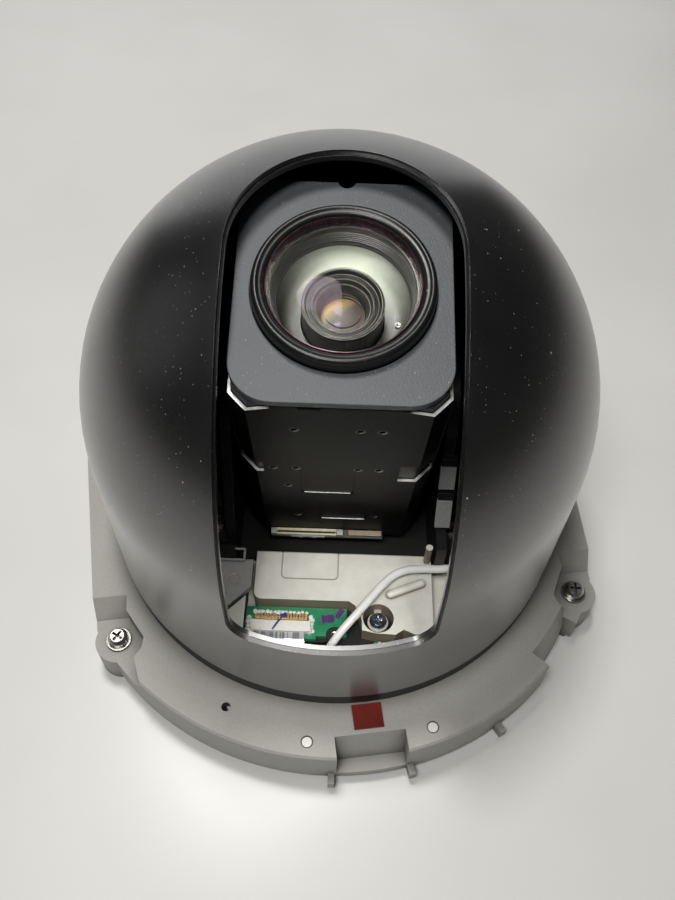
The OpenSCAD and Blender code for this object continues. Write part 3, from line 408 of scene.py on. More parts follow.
# Finishes of details that have no slot of their own
FINISHES = {
    "cut_edge": cut_sheet(),
    # Painted reflection: mauve for the bore lining, in place of the coated glass's mauve reflection.
    "bore_wall": grained("mauve_reflection_bore", (0.10, 0.06, 0.075), (0.20, 0.125, 0.15), (0.22, 0.34), 300, 0.00001,
                         Metallic=0.9),
    "rib_ring": grained("rib_ring", (0.022, 0.021, 0.019), (0.045, 0.044, 0.04), (0.3, 0.42), 600, 0.00001),
    "tube_grey": grained("tube_grey", (0.006, 0.006, 0.0055), (0.015, 0.015, 0.013), (0.28, 0.4), 600,
                         0.00001, IOR=1.4),
    # Painted highlights on the crests of the zoom tube's rings.
    "crest_highlight": grained("crest_highlight", (0.10, 0.095, 0.08), (0.22, 0.21, 0.18), (0.25, 0.38), 600, 0.00001),
    "amber_glass": amber_disc(),
    "rose_glass": coated_glass("rose_glass", rgb(0.96, 0.93, 0.92), (0.4, 0.13, 0.16, 1.0)),
    "blue_glass": coated_glass("blue_glass", rgb(0.93, 0.95, 0.97), (0.05, 0.09, 0.28, 1.0)),
    "gold_pins": grained("gold_pins", (0.62, 0.47, 0.22), (0.88, 0.74, 0.46), (0.22, 0.34), 900, 0.00001,
                         Metallic=0.9),
    "clear_glue": grained("clear_glue", (0.7, 0.71, 0.69), (0.96, 0.96, 0.94), (0.08, 0.2), 500, 0.00002,
                          Transmission_Weight=0.12, IOR=1.5),
    "blue_ink": grained("blue_ink", (0.02, 0.02, 0.12), (0.05, 0.05, 0.24), (0.4, 0.5)),
    "purple_ink": grained("purple_ink", (0.05, 0.015, 0.10), (0.10, 0.03, 0.17), (0.4, 0.5)),
    "brown_board": grained("brown_board", (0.03, 0.022, 0.012), (0.07, 0.055, 0.03), (0.4, 0.5)),
    "cream_shell": grained("cream_shell", (0.5, 0.45, 0.28), (0.78, 0.72, 0.52), (0.28, 0.4), 700, 0.00002),
    "tan_bar": grained("tan_bar", (0.22, 0.17, 0.12), (0.36, 0.29, 0.22), (0.35, 0.45)),
    "worn_black": grained("worn_black", (0.012, 0.012, 0.012), (0.03, 0.03, 0.03), (0.35, 0.45), 900,
                          0.00001),
    # Painted highlight for the arcs beside the dimples.
    "dimple_highlight_paint": grained("dimple_highlight_paint", (0.35, 0.35, 0.34), (0.7, 0.7, 0.68), (0.3, 0.4), 900, 0.00001),
    "black_rubber": grained("black_rubber", (0.008, 0.008, 0.008), (0.014, 0.014, 0.014), (0.5, 0.65)),
}

for cad_node in NODES.values():
    for slot in cad_node.material_slots:
        slot.material = MATERIALS[slot.material.name]


# Mesh helpers

def add_object(name, mesh, slot, body, replaced=(), finish=None):
    """Puts a piece in the scene on its body, with the finish of a material slot or one of FINISHES."""
    if not mesh.materials:
        mesh.materials.append(FINISHES[finish] if finish else MATERIALS[slot])
    piece = bpy.data.objects.new(name, mesh)
    bpy.context.scene.collection.objects.link(piece)
    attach(piece, body)
    if replaced:
        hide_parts(*replaced)
    return piece


def apply_modifiers(piece):
    bpy.context.view_layer.update()
    graph = bpy.context.evaluated_depsgraph_get()
    piece.data = bpy.data.meshes.new_from_object(piece.evaluated_get(graph), depsgraph=graph)
    piece.modifiers.clear()


def smooth(piece, angle=40):
    piece.data.polygons.foreach_set("use_smooth", [True] * len(piece.data.polygons))
    piece.data.set_sharp_from_angle(angle=math.radians(angle))


def round_edges(piece, width, segments=2, angle=32):
    """Rounds a piece's sharp edges by a small radius."""
    bevel = piece.modifiers.new("bevel", "BEVEL")
    bevel.width = width
    bevel.segments = segments
    bevel.limit_method = "ANGLE"
    bevel.angle_limit = math.radians(angle)
    bevel.miter_outer = "MITER_ARC"
    bevel.use_clamp_overlap = True
    apply_modifiers(piece)
    smooth(piece)
    weights = piece.modifiers.new("normals", "WEIGHTED_NORMAL")
    weights.keep_sharp = True
    apply_modifiers(piece)


def mesh_from(name, shape):
    bmesh.ops.recalc_face_normals(shape, faces=shape.faces)
    mesh = bpy.data.meshes.new(name)
    shape.to_mesh(mesh)
    shape.free()
    return mesh


def refined(node, width, segments=2, angle=32, merge=0.6):
    """Replaces a CAD node by a copy of its shape with rounded edges."""
    source = NODES[node]
    shape = bmesh.new()
    shape.from_mesh(source.data)
    bmesh.ops.remove_doubles(shape, verts=shape.verts, dist=0.002 * MM)
    bmesh.ops.dissolve_limit(shape, angle_limit=math.radians(merge), verts=shape.verts, edges=shape.edges)
    mesh = mesh_from(node + "_mesh", shape)
    slot = next(name for name, material in MATERIALS.items() if material == source.material_slots[0].material)
    piece = add_object(node + "_piece", mesh, slot, BODY_OF[node], [node])
    round_edges(piece, width * MM, segments, angle)
    return piece


def loops_mesh(name, loops, closed_rows=True, ends=False):
    """Joins rings of points into a sheet of quads; closed_rows joins the last ring to the first."""
    shape = bmesh.new()
    rows = [[shape.verts.new(point) for point in loop] for loop in loops]
    pairs = list(zip(rows, rows[1:]))
    if closed_rows:
        pairs.append((rows[-1], rows[0]))
    for one, two in pairs:
        for k in range(len(one)):
            following = (k + 1) % len(one)
            shape.faces.new((one[k], one[following], two[following], two[k]))
    if ends:
        shape.faces.new(rows[0][::-1])
        shape.faces.new(rows[-1])
    return mesh_from(name, shape)


def lathe(name, profile, slot, body, place, replaced=(), finish=None, steps=160, closed=True, angle=30):
    """Turns a profile of (radius, height) points in millimetres about the Z axis of a frame.
    A closed profile makes a ring; an open one ends on the axis."""
    loops = []
    for radius, height in profile:
        ring = []
        for k in range(steps):
            turn = 2 * math.pi * k / steps
            across = max(radius, 0.001)
            ring.append(place @ (Vector((across * math.cos(turn), across * math.sin(turn), height)) * MM))
        loops.append(ring)
    shape = bmesh.new()
    shape.from_mesh(loops_mesh(name + "_mesh", loops, closed_rows=closed))
    bmesh.ops.remove_doubles(shape, verts=shape.verts, dist=0.003 * MM)
    piece = add_object(name, mesh_from(name + "_mesh", shape), slot, body, replaced, finish)
    smooth(piece, angle)
    return piece


def softened(profile, radius, steps=3):
    """Rounds each corner of a closed profile by a small radius, less where its sides are short."""
    points = []
    count = len(profile)
    for k in range(count):
        before, here, after = (Vector(profile[(k + shift) % count]) for shift in (-1, 0, 1))
        reach = min(radius, (before - here).length * 0.45, (after - here).length * 0.45)
        start = here + (before - here).normalized() * reach
        end = here + (after - here).normalized() * reach
        for step in range(steps + 1):
            t = step / steps
            point = start * (1 - t) ** 2 + here * 2 * t * (1 - t) + end * t ** 2
            points.append((point.x, point.y))
    return points


# Shroud: the dome shell with its lens slot. SLOT_END is where the slot's round top end is centred, and
# SLOT_MIDDLE the point that the shell's rows spread from, on the dome laid out flat.

SHROUD_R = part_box("shroud")[1].x
SHROUD_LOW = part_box("shroud")[0].z
SLOT_HALF = 26.4 * MM
SLOT_LOW = 52 * MM
SLOT_CORNER = 6 * MM
SLOT_END = -10.5 * MM
SLOT_MIDDLE = -55 * MM
SHROUD_WALL = 2.5 * MM


def slot_outline(half, low, radius):
    """The slot's edge on a shell surface: a round end on top, straight sides, round lower corners."""
    axis = TILT_AXIS.z
    corner = SLOT_CORNER - (SLOT_HALF - half)

    def on_dome(x, y):
        return Vector((x, y, axis + math.sqrt(radius ** 2 - x ** 2 - y ** 2)))

    def on_front(x, z):
        above = max(z - axis, 0)
        return Vector((x, -math.sqrt(radius ** 2 - x ** 2 - above ** 2), z))

    side = []
    for k in range(25):
        turn = math.pi / 2 * k / 24
        side.append(on_dome(half * math.sin(turn), SLOT_END + half * math.cos(turn)))
    plane_radius = math.sqrt(radius ** 2 - half ** 2)
    top = math.acos(-SLOT_END / plane_radius)
    for k in range(1, 41):
        turn = top * (1 - k / 40)
        side.append(on_front(half, axis + plane_radius * math.sin(turn)))
    for k in range(1, 5):
        side.append(on_front(half, axis + (low + corner - axis) * k / 4))
    for k in range(1, 11):
        turn = math.pi / 2 * k / 10
        side.append(on_front(half - corner + corner * math.cos(turn), low + corner - corner * math.sin(turn)))
    for k in range(1, 13):
        side.append(on_front((half - corner) * (1 - k / 12), low))
    other = [Vector((-point.x, point.y, point.z)) for point in reversed(side[1:-1])]
    return side + other


def flattened(point, radius):
    """Dome surface laid out flat around its pole."""
    above = point.z - TILT_AXIS.z
    if above > 0:
        length = radius * math.acos(min(above / radius, 1))
    else:
        length = radius * math.pi / 2 - above
    across = math.hypot(point.x, point.y)
    return Vector((point.x, point.y)) * (length / max(across, 1e-9))


def raised(flat, radius):
    """The inverse of flattened."""
    length = flat.length
    quarter = radius * math.pi / 2
    direction = flat / max(length, 1e-9)
    if length < quarter:
        across = radius * math.sin(length / radius)
        height = TILT_AXIS.z + radius * math.cos(length / radius)
    else:
        across = radius
        height = TILT_AXIS.z - (length - quarter)
    return Vector((direction.x * across, direction.y * across, height))


def shell_rows(outline, radius, low, steps):
    """Rings of points from the slot's edge out to the shell's lower rim."""
    middle = Vector((0, SLOT_MIDDLE))
    rim = radius * math.pi / 2 + TILT_AXIS.z - low
    rows = [[] for _ in range(steps + 1)]
    for point in outline:
        start = flattened(point, radius)
        along = (start - middle).normalized()
        reach = -middle.dot(along) + math.sqrt(middle.dot(along) ** 2 - middle.length_squared + rim ** 2)
        begin = (start - middle).length
        for k in range(steps + 1):
            share = (k / steps) ** 1.25
            rows[k].append(raised(middle + along * (begin + (reach - begin) * share), radius))
    rows[0] = list(outline)
    return rows


def build_shroud():
    """The dome shell: outer face, lower rim, inner face and the stepped wall of the slot."""
    inner = SHROUD_R - SHROUD_WALL
    ledge = SHROUD_R - 1.2 * MM
    lip = SLOT_HALF - 0.7 * MM
    outside = shell_rows(slot_outline(SLOT_HALF, SLOT_LOW, SHROUD_R), SHROUD_R, SHROUD_LOW, 46)
    inside = shell_rows(slot_outline(lip, SLOT_LOW + 0.55 * MM, inner), inner, SHROUD_LOW, 24)
    walls = [slot_outline(lip, SLOT_LOW + 0.5 * MM, ledge),
             slot_outline(SLOT_HALF, SLOT_LOW + 0.25 * MM, ledge)]
    mesh = loops_mesh("shroud_mesh", list(reversed(outside)) + list(reversed(walls)) + inside)
    piece = add_object("dome_shroud", mesh, "shroud_plastic", "rotor", ["shroud"])
    round_edges(piece, 0.22 * MM, 3, 28)


build_shroud()


# Lens: barrel, glass and what shows behind it. Radii and heights are in millimetres along the lens axis.

RIB_COUNT = 5
RIB_PITCH = 0.55
LINE_SIZE = 0.07
AMBER_R = 4.95


def sphere_cap(radius, curve, top, steps=12):
    """Profile of a lens face: from its edge to the axis, rising to a top height."""
    points = []
    for k in range(steps + 1):
        across = radius * (1 - k / steps)
        points.append((across, top - curve + math.sqrt(curve ** 2 - across ** 2)))
    return points


def glass_element(name, radius, top, curve, thickness, body, replaced=(), finish=None):
    """A thin meniscus lens element."""
    outer = sphere_cap(radius, curve, top)
    inner = sphere_cap(radius, curve - thickness, top - thickness)
    profile = outer + inner[::-1]
    glass = lathe(name, profile, "lens_glass", body, HEAD, replaced, finish, steps=128, angle=60)
    glass.visible_shadow = False


def head_ring(name, profile, slot="lens_black", replaced=(), finish=None, steps=160, angle=30):
    """A turned ring of the lens that stays with the camera head."""
    lathe(name, profile, slot, "camera_head", HEAD, replaced, finish, steps, angle=angle)


def tube_ring(name, profile, finish, slot="lens_black", steps=144, closed=True, angle=30):
    """A turned ring of the zoom tube, which slides on the zoom drive."""
    lathe(name, profile, slot, "zoom_group", HEAD, (), finish, steps, closed, angle)


def build_lens():
    """Barrel, its lining with a painted mauve reflection, the ribbed baffle and the pale bowl round the zoom tube.
    """
    barrel = [(20.7, 33), (20.7, 56.4), (20.5, 57.3), (20.0, 57.9), (19.4, 58), (18.9, 57.6), (18.3, 57.55),
              (17.9, 57.3), (17.6, 56.9), (17.55, 56), (17.55, 53.9), (17.5, 45.9), (14.8, 38.7), (14.8, 33)]
    head_ring("lens_barrel_piece", softened(barrel, 0.25), replaced=["lens_barrel"], steps=192)
    # Painted reflection: the lining's mauve stands in for the mauve reflection of the coated glass.
    lining = [(17.48, 53.9), (17.48, 57.0), (17.2, 57.15), (16.5, 54.2), (16.5, 53.9)]
    head_ring("bore_lining", softened(lining, 0.1, 2), finish="bore_wall")
    ribs = [(17.4, 53.8), (17.4, 48.4), (15.2, 48.4), (15.05, 48.7), (15.2, 49.05), (15.45, 49.2)]
    for k in range(RIB_COUNT):
        height = 49.5 + RIB_PITCH * k
        radius = 15.5 + 0.1 * k
        ribs += [(radius, height), (radius + 0.02, height + 0.25), (radius + 0.35, height + 0.32),
                 (radius + 0.35, height + 0.48)]
    ribs += [(16.05, 52.3), (16.1, 53.3), (16.3, 53.8)]
    baffle = softened(ribs, 0.08, 2)
    head_ring("baffle_rings_piece", baffle, replaced=["baffle_rings"], finish="rib_ring", steps=176)
    bowl = [(9.95, 38.8), (14.6, 38.8), (17.4, 46.2), (17.4, 47.8), (16.9, 47.8), (16.2, 45.4), (15.5, 43.2),
            (14.8, 41.7), (14.1, 40.8), (13.2, 40.35), (12.0, 40.2), (9.95, 40.2)]
    head_ring("reflector_bowl", bowl, "pale_plastic", ["reflector_ring"], angle=65)


def build_zoom_tube():
    """The stepped tube of the zoom cell, with its glass, rides on the zoom drive."""
    refined("zoom_group", 0.12).name = "zoom_cell_piece"
    steps = {
        "tube_lip": [(9.58, 46.6), (9.58, 47.5), (9.35, 47.85), (9.0, 47.9), (8.82, 47.6), (8.82, 46.6)],
        "tube_step": [(8.5, 46.2), (8.5, 47.0), (8.15, 47.1), (7.9, 46.9), (7.6, 47.0), (7.35, 46.75),
                      (7.05, 46.85), (6.85, 46.5), (6.85, 46.2)],
        "tube_inner": [(6.75, 44.6), (6.75, 45.3), (6.3, 45.5), (6.1, 45.0), (5.7, 44.2), (5.4, 43.2),
                       (5.05, 42.6), (5.0, 42.0), (5.3, 41.9)],
    }
    for name, profile in steps.items():
        tube_ring(name, softened(profile, 0.1, 2), "tube_grey")
    # Painted highlights: a thin bright ring at each crest stands in for the light that the crest's edge catches.
    crests = ((9.5, 47.9), (8.95, 47.95), (8.2, 47.12), (6.95, 46.9), (6.2, 45.52), (4.98, 42.3))
    for number, (radius, height) in enumerate(crests):
        line = [(radius - LINE_SIZE, height), (radius, height + 0.06), (radius + LINE_SIZE, height),
                (radius, height - 0.06)]
        tube_ring("tube_crest_highlight_" + str(number), line, "crest_highlight")
    disc = [(AMBER_R, 41.2)] + sphere_cap(AMBER_R, 24, 42.0)
    tube_ring("amber_element", disc, "amber_glass", "lens_glass", 96, False, 60)
    glass_element("rose_element", 3.6, 43.2, 7, 0.4, "zoom_group", finish="rose_glass")
    glass_element("blue_element", 4.4, 45.4, 13, 0.5, "zoom_group", finish="blue_glass")
    glass_element("tube_window", 8.7, 48.4, 19, 0.7, "zoom_group")


# Rounding of the CAD nodes that keep their shape, in millimetres
ROUNDED = {
    "front_plate": 0.3, "base_casting": 0.35, "collar_ring": 0.25, "chassis_cover": 0.6, "rotor_chassis": 0.3,
    "block_housing": 0.3, "underside_panel": 0.12, "head_bracket": 0.15, "yoke_left": 0.25,
    "yoke_right": 0.25, "side_bracket": 0.25, "foam_pads": 0.15, "cover_screws": 0.12, "cover_washers": 0.1,
    "chassis_screws": 0.1, "flex_connector": 0.12, "flex_latch": 0.06, "rear_connectors": 0.1,
    "network_jack": 0.2, "head_screws": 0.08, "power_terminal": 0.2, "rotor_board": 0.08, "tape_marker": 0.04,
    "rim_pads": 0.1,
}
for node, width in ROUNDED.items():
    refined(node, width)
build_lens()
glass_element("front_element", 17.4, 57.4, 90, 1.8, "camera_head", ["front_glass"])
build_zoom_tube()


# Sheet cover of the zoom block: bare metal where it was cut, and a raised rim round each dimple

def bare_cut_edges(piece):
    """Gives the faces of a sheet that look along the lens the finish of bare cut metal."""
    piece.data.materials.append(FINISHES["cut_edge"])
    for face in piece.data.polygons:
        if face.normal.dot(LENS_DIRECTION) > 0.8 and face.area > 0.8 * MM * MM:
            face.material_index = 1


bare_cut_edges(bpy.data.objects["underside_panel_piece"])


# Middles of the dimples, across and along the sheet in millimetres
DIMPLES = ((-10.1, 40.4), (4.9, 40.4), (9.9, 40.4), (-16.1, 16), (-10.3, 16), (5.2, 16), (10.5, 16),
           (-12.8, 3), (-10.9, -22.2), (11.3, -22.2))
SHEET_FACE = -28.3
UPRIGHT = Matrix.Rotation(math.pi / 2, 4, "X")


def rim_dimples():
    """A faint raised rim round each dimple of the sheet cover, and a bright arc on one side of it that is a
    painted highlight.
    """
    for number, (across, along) in enumerate(DIMPLES):
        place = HEAD @ Matrix.Translation(Vector((across, SHEET_FACE, along)) * MM) @ UPRIGHT
        rim = [(0.82, -0.02), (0.95, 0.05), (1.15, 0.05), (1.3, -0.02)]
        lathe("dimple_rim_" + str(number), rim, "black_sheet", "camera_head", place, (), "worn_black", 32)
        # Painted highlight: a bright arc on one side of each dimple.
        arc = []
        for k in range(9):
            turn = math.radians(-110 + 15 * k)
            arc.append((0.72 * math.cos(turn), 0.72 * math.sin(turn), 0.02))
        add_stroke("dimple_highlight_" + str(number), arc, 0.17, "black_sheet", "camera_head", place, "dimple_highlight_paint")


# Small details: blocks, drops of glue, strokes of ink

def add_blocks(name, blocks, slot, body, place, finish=None, bevel=0.05):
    """Small blocks as one piece, each from its low to its high corner in millimetres."""
    shape = bmesh.new()
    for low, high in blocks:
        corners = []
        for x in (low[0], high[0]):
            for y in (low[1], high[1]):
                for z in (low[2], high[2]):
                    corners.append(shape.verts.new(place @ (Vector((x, y, z)) * MM)))
        for face in ((0, 1, 3, 2), (4, 6, 7, 5), (0, 4, 5, 1), (2, 3, 7, 6), (0, 2, 6, 4), (1, 5, 7, 3)):
            shape.faces.new([corners[k] for k in face])
    piece = add_object(name, mesh_from(name + "_mesh", shape), slot, body, (), finish)
    round_edges(piece, bevel * MM)
    return piece


def add_drops(name, points, size, slot, body, place, finish, seed, flat=0.7):
    """Irregular drops on a surface, as one piece; they rise along the frame's Z."""
    chance = random.Random(seed)
    shape = bmesh.new()
    for point in points:
        radius = size * chance.uniform(0.7, 1.25)
        middle = Vector(point) + Vector((chance.uniform(-0.15, 0.15), chance.uniform(-0.15, 0.15), 0))
        top = shape.verts.new(place @ ((middle + Vector((0, 0, radius * flat))) * MM))
        previous = None
        for row in range(1, 5):
            rise = math.pi / 2 * row / 4
            ring = []
            for k in range(12):
                turn = 2 * math.pi * k / 12
                across = radius * math.sin(rise) * chance.uniform(0.92, 1.08)
                height = radius * flat * math.cos(rise)
                offset = Vector((across * math.cos(turn), across * math.sin(turn), height))
                ring.append(shape.verts.new(place @ ((middle + offset) * MM)))
            for k in range(12):
                following = (k + 1) % 12
                if previous is None:
                    shape.faces.new((top, ring[k], ring[following]))
                else:
                    shape.faces.new((previous[k], ring[k], ring[following], previous[following]))
            previous = ring
        shape.faces.new(previous[::-1])
    piece = add_object(name, mesh_from(name + "_mesh", shape), slot, body, (), finish)
    smooth(piece, 60)
    return piece


def add_stroke(name, points, width, slot, body, place, finish, rise=0.04, seed=3):
    """A thin ribbon along points in millimetres, lying on a surface whose Z is the frame's Z."""
    chance = random.Random(seed)
    path = [Vector(point) for point in points]
    loops = []
    for k, point in enumerate(path):
        along = path[min(k + 1, len(path) - 1)] - path[max(k - 1, 0)]
        aside = Vector((-along.y, along.x, 0)).normalized() * width * chance.uniform(0.42, 0.58)
        lift = Vector((0, 0, rise))
        loops.append([place @ (corner * MM) for corner in
                      (point - aside, point + aside, point + aside + lift, point - aside + lift)])
    piece = add_object(name, loops_mesh(name + "_mesh", loops, False, True), slot, body, (), finish)
    smooth(piece, 30)
    return piece


def row_of(low, high, count):
    """Evenly spaced points from one point to another."""
    start, end = Vector(low), Vector(high)
    return [tuple(start + (end - start) * k / (count - 1)) for k in range(count)]


BOARD_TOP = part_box("rotor_board")[1].z / MM
LATCH_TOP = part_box("flex_latch")[1].z / MM
SOCKET_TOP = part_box("flex_connector")[1].z / MM
PIN_COUNT = 17
PIN_START = -21.2
PIN_PITCH = 0.82
PIN_WIDTH = 0.42
THREAD_TURNS = 9
THREAD_PITCH = 0.3


def build_flex_details():
    """Pins, glue and ink on the flat connector of the rotor's board."""
    pins = []
    for k in range(PIN_COUNT):
        x = PIN_START + PIN_PITCH * k
        pins.append(((x, -50.9, LATCH_TOP - 0.05), (x + PIN_WIDTH, -49.1, LATCH_TOP + 0.08)))
    add_blocks("latch_pins", pins, "amber_plastic", "rotor", ROTOR, "gold_pins", 0.02)
    drops = (row_of((-21.8, -48.8, LATCH_TOP - 0.25), (-7.2, -48.8, LATCH_TOP - 0.25), 14)
             + row_of((-5.9, -49.4, BOARD_TOP), (-5.4, -53.6, BOARD_TOP), 5)
             + row_of((-23.4, -50.0, BOARD_TOP), (-23.5, -53.8, BOARD_TOP), 4))
    add_drops("glue_drops", drops, 0.72, "white_plastic", "rotor", ROTOR, "clear_glue", 5)
    mark = [(-14.0, -49.2, LATCH_TOP + 0.12), (-14.4, -50.9, LATCH_TOP + 0.12), (-14.6, -51.1, LATCH_TOP),
            (-14.9, -51.6, SOCKET_TOP), (-15.5, -52.6, SOCKET_TOP + 0.12), (-16.6, -54.4, SOCKET_TOP + 0.1)]
    add_stroke("ink_mark", mark, 0.55, "white_plastic", "rotor", ROTOR, "blue_ink")
    blob = [(-13.9, -49.6, LATCH_TOP + 0.08)]
    add_drops("ink_blob", blob, 0.8, "white_plastic", "rotor", ROTOR, "blue_ink", 2, 0.1)
    line = [((-21.3, -50.06, LATCH_TOP - 0.1), (-7.3, -49.92, LATCH_TOP + 0.13))]
    add_blocks("ink_line", line, "white_plastic", "rotor", ROTOR, "blue_ink", 0.01)


def build_board_details():
    """Ink patches, the threaded boss with its black ring, and a clear lamp in glue."""
    first = row_of((-2.9, -50.0, BOARD_TOP), (0.6, -49.5, BOARD_TOP), 8)
    add_stroke("ink_patch_one", first, 2.3, "circuit_board", "rotor", ROTOR, "purple_ink", 0.03, 2)
    second = row_of((1.3, -49.4, BOARD_TOP), (2.9, -46.7, BOARD_TOP), 7)
    add_stroke("ink_patch_two", second, 1.7, "circuit_board", "rotor", ROTOR, "purple_ink", 0.03, 4)
    boss = ROTOR @ Matrix.Translation(Vector((0.8, -54.7, 0)) * MM)
    ring = [(1.1, 29.7), (2.35, 29.7), (2.35, 30.0), (2.05, 30.25), (1.35, 30.25), (1.1, 30.0)]
    lathe("boss_ring", ring, "black_plastic", "rotor", boss, (), "black_rubber", 64)
    thread = [(1.0, 27.4)]
    for k in range(THREAD_TURNS):
        thread += [(0.72, 27.5 + THREAD_PITCH * k), (1.0, 27.65 + THREAD_PITCH * k)]
    lathe("boss_thread", thread + [(1.06, 30.05), (1.06, 27.4)], "steel", "rotor", boss, (), None, 48)
    lamp = [((15.2, -57.7, BOARD_TOP), (19.4, -56.5, BOARD_TOP + 0.7))]
    add_blocks("clear_lamp", lamp, "white_plastic", "rotor", ROTOR, "clear_glue", 0.15)
    drops = row_of((13.4, -56.7, BOARD_TOP), (20.2, -56.6, BOARD_TOP), 5)
    add_drops("clear_drops", drops, 0.5, "white_plastic", "rotor", ROTOR, "clear_glue", 11)


def build_bracket_clip():
    """A folded wire clip behind the side bracket."""
    bars = [((-34.5, -32.9, 30.7), (-26.0, -32.2, 31.3)), ((-26.7, -32.2, 30.7), (-26.0, -28.6, 31.3)),
            ((-29.4, -29.2, 30.7), (-26.0, -28.6, 31.3))]
    add_blocks("bracket_clip", bars, "grey_plastic", "rotor", ROTOR, None, 0.2)


def build_rear_details():
    """The shell, glue and ink of the connector behind the sheet cover."""
    refined("rear_board", 0.08).data.materials[0] = FINISHES["brown_board"]
    lips = [((-17.7, -30.5, -37.1), (0.5, -29.95, -35.5)), ((-17.7, -29.3, -36.2), (0.5, -28.5, -35.5))]
    add_blocks("rear_lips", lips, "amber_plastic", "camera_head", HEAD, "cream_shell", 0.06)
    slit = [((-17.4, -29.97, -35.8), (0.2, -29.28, -35.6))]
    add_blocks("rear_slit", slit, "black_plastic", "camera_head", HEAD, "black_rubber", 0.02)
    clips = [((-19.4, -30.4, -37.1), (-17.75, -28.5, -35.4)), ((0.6, -30.4, -37.1), (2.5, -28.5, -35.3))]
    add_blocks("rear_clips", clips, "grey_plastic", "camera_head", HEAD, None, 0.1)
    bar = [((4.2, -30.15, -37.1), (14.2, -28.5, -35.9))]
    add_blocks("rear_bar", bar, "amber_plastic", "camera_head", HEAD, "tan_bar", 0.08)
    front = HEAD @ UPRIGHT
    drops = row_of((-12.8, -37.5, 30.55), (-3.8, -37.4, 30.55), 8)
    add_drops("rear_glue", drops, 1.05, "white_plastic", "camera_head", front, "clear_glue", 21, 0.24)
    mark = [(-10.4, -36.5, 30.53), (-9.4, -37.3, 30.8), (-8.3, -37.0, 30.8), (-6.8, -37.6, 30.8)]
    add_stroke("rear_ink", mark, 0.4, "white_plastic", "camera_head", front, "blue_ink")


# The free white wire, from its plug over the cover and down through the chassis

WIRE_ROUTE = ((38, -35.6, 36.4), (34, -36, 36.6), (30, -36.6, 36.8), (25.6, -36.8, 37), (21, -37.4, 37.2),
              (17, -39.2, 37), (13, -43.2, 36.6), (9.5, -47.6, 36.2), (6, -51.6, 35.2), (3, -54.8, 33.8),
              (0.6, -57.4, 31.6), (-0.8, -58.6, 28.6), (-1.4, -58.9, 25.5), (-1.6, -58.8, 22.6))
WIRE_RADIUS = 1.15
WIRE_SIDES = 24


def curve_through(points, steps):
    """Catmull-Rom curve through points, with so many steps between each two."""
    path = []
    last = len(points) - 1
    for k in range(last):
        a, b, c, d = (Vector(points[min(max(k + shift, 0), last)]) for shift in (-1, 0, 1, 2))
        for step in range(steps):
            t = step / steps
            path.append(0.5 * (2 * b + (c - a) * t + (2 * a - 5 * b + 4 * c - d) * t ** 2
                               + (3 * b - a - 3 * c + d) * t ** 3))
    path.append(Vector(points[-1]))
    return path


def build_wire():
    """The wire as a tube along its route."""
    path = curve_through(WIRE_ROUTE, 6)
    loops = []
    for k, point in enumerate(path):
        along = (path[min(k + 1, len(path) - 1)] - path[max(k - 1, 0)]).normalized()
        first = along.cross(Vector((0.3, 0.9, 0.35))).normalized()
        second = along.cross(first)
        loops.append([(point + WIRE_RADIUS * (math.cos(turn) * first + math.sin(turn) * second)) * MM
                      for turn in (2 * math.pi * m / WIRE_SIDES for m in range(WIRE_SIDES))])
    mesh = loops_mesh("wire_mesh", loops, False, True)
    wire = add_object("wire_tube", mesh, "wire_sheath", "rotor", ["white_wire"])
    smooth(wire, 50)


rim_dimples()
build_flex_details()
build_board_details()
build_rear_details()
build_bracket_clip()
build_wire()


# Floor and lights

def add_floor():
    """A large pale table with a faint sheen."""
    surface = Surface("pale_table", Coat_Weight=0.25, Coat_Roughness=0.22)
    wide = surface.noise(9, 3)
    surface.colour(surface.mix(surface.spread(wide, 0.3, 0.7), rgb(0.70, 0.70, 0.68), rgb(0.76, 0.76, 0.745)))
    surface.roughness(surface.spread(wide, 0.3, 0.7, 0.4, 0.46))
    shape = bmesh.new()
    bmesh.ops.create_grid(shape, x_segments=12, y_segments=12, size=3.0)
    mesh = bpy.data.meshes.new("floor")
    shape.to_mesh(mesh)
    shape.free()
    mesh.materials.append(surface.material)
    floor = bpy.data.objects.new("floor", mesh)
    bpy.context.scene.collection.objects.link(floor)


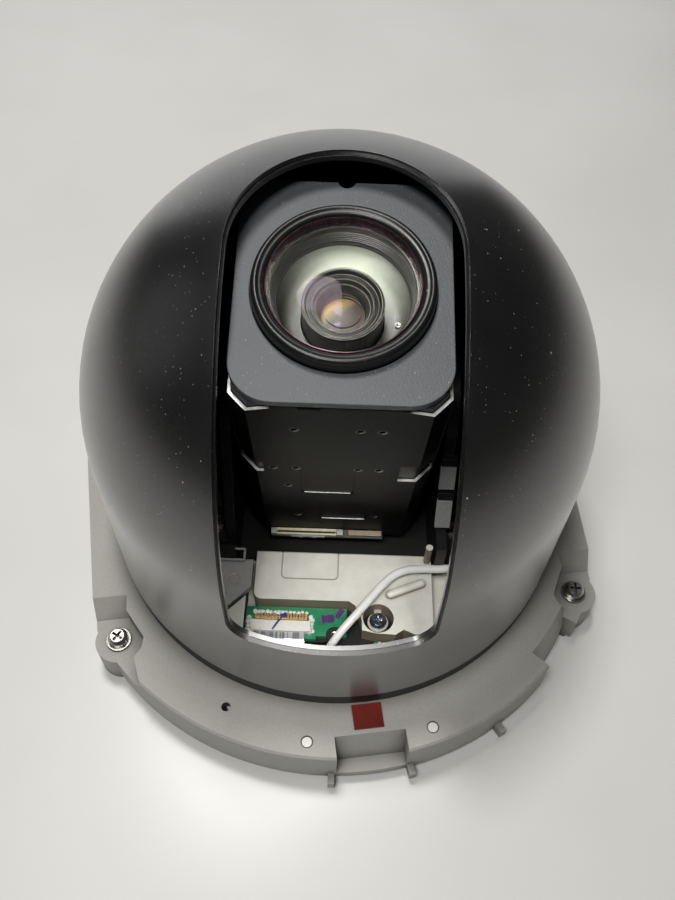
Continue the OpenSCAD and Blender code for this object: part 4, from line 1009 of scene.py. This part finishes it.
def add_light(name, azimuth, elevation, distance, size, radiance, colour=(1, 1, 1), seen=True):
    """A round soft light at a distance from the dome; azimuth is from the front, + to the right."""
    turn, rise = math.radians(azimuth), math.radians(elevation)
    towards = Vector((math.sin(turn) * math.cos(rise), -math.cos(turn) * math.cos(rise), math.sin(rise)))
    data = bpy.data.lights.new(name, "AREA")
    data.shape = "DISK"
    data.size = size
    data.energy = radiance * math.pi * math.pi * size ** 2 / 4
    data.color = colour
    lamp = bpy.data.objects.new(name, data)
    lamp.location = Vector((0, 0, 0.06)) + distance * towards
    lamp.rotation_euler = (-towards).to_track_quat("-Z", "Y").to_euler()
    lamp.visible_camera = seen
    bpy.context.scene.collection.objects.link(lamp)


def add_world(strength):
    """Faint even light from all around."""
    world = bpy.data.worlds.new("room")
    world.use_nodes = True
    world.node_tree.nodes["Background"].inputs["Color"].default_value = (1.0, 0.99, 0.97, 1)
    world.node_tree.nodes["Background"].inputs["Strength"].default_value = strength
    bpy.context.scene.world = world


def add_spot(name, place, aim, width, radius, power, colour):
    """A soft-edged light on the inside of the slot."""
    data = bpy.data.lights.new(name, "SPOT")
    data.spot_size = math.radians(width)
    data.spot_blend = 0.6
    data.shadow_soft_size = radius
    data.energy = power
    data.color = colour
    lamp = bpy.data.objects.new(name, data)
    lamp.location = place
    lamp.rotation_euler = (Vector(aim) - Vector(place)).to_track_quat("-Z", "Y").to_euler()
    bpy.context.scene.collection.objects.link(lamp)


WARM = (1.0, 0.985, 0.955)
add_floor()
add_light("ceiling_lamp", -150, 76, 0.9, 0.22, 37, WARM)
add_light("front_lamp", -28, 66, 0.9, 0.26, 21.6, WARM)
add_light("back_wall", -172, 6, 0.7, 0.9, 0.62, (1, 1, 1), False)
add_light("left_wall", -98, 20, 0.8, 0.5, 0.18, (1, 1, 1), False)
add_spot("slot_fill_right", (0.07, -0.30, 0.62), (-0.012, -0.049, 0.034), 7, 0.03, 6.5, WARM)
add_spot("slot_fill_left", (-0.06, -0.30, 0.62), (0.012, -0.049, 0.034), 7, 0.03, 6.5, WARM)
add_world(0.03)
bpy.context.scene.view_settings.view_transform = "Standard"
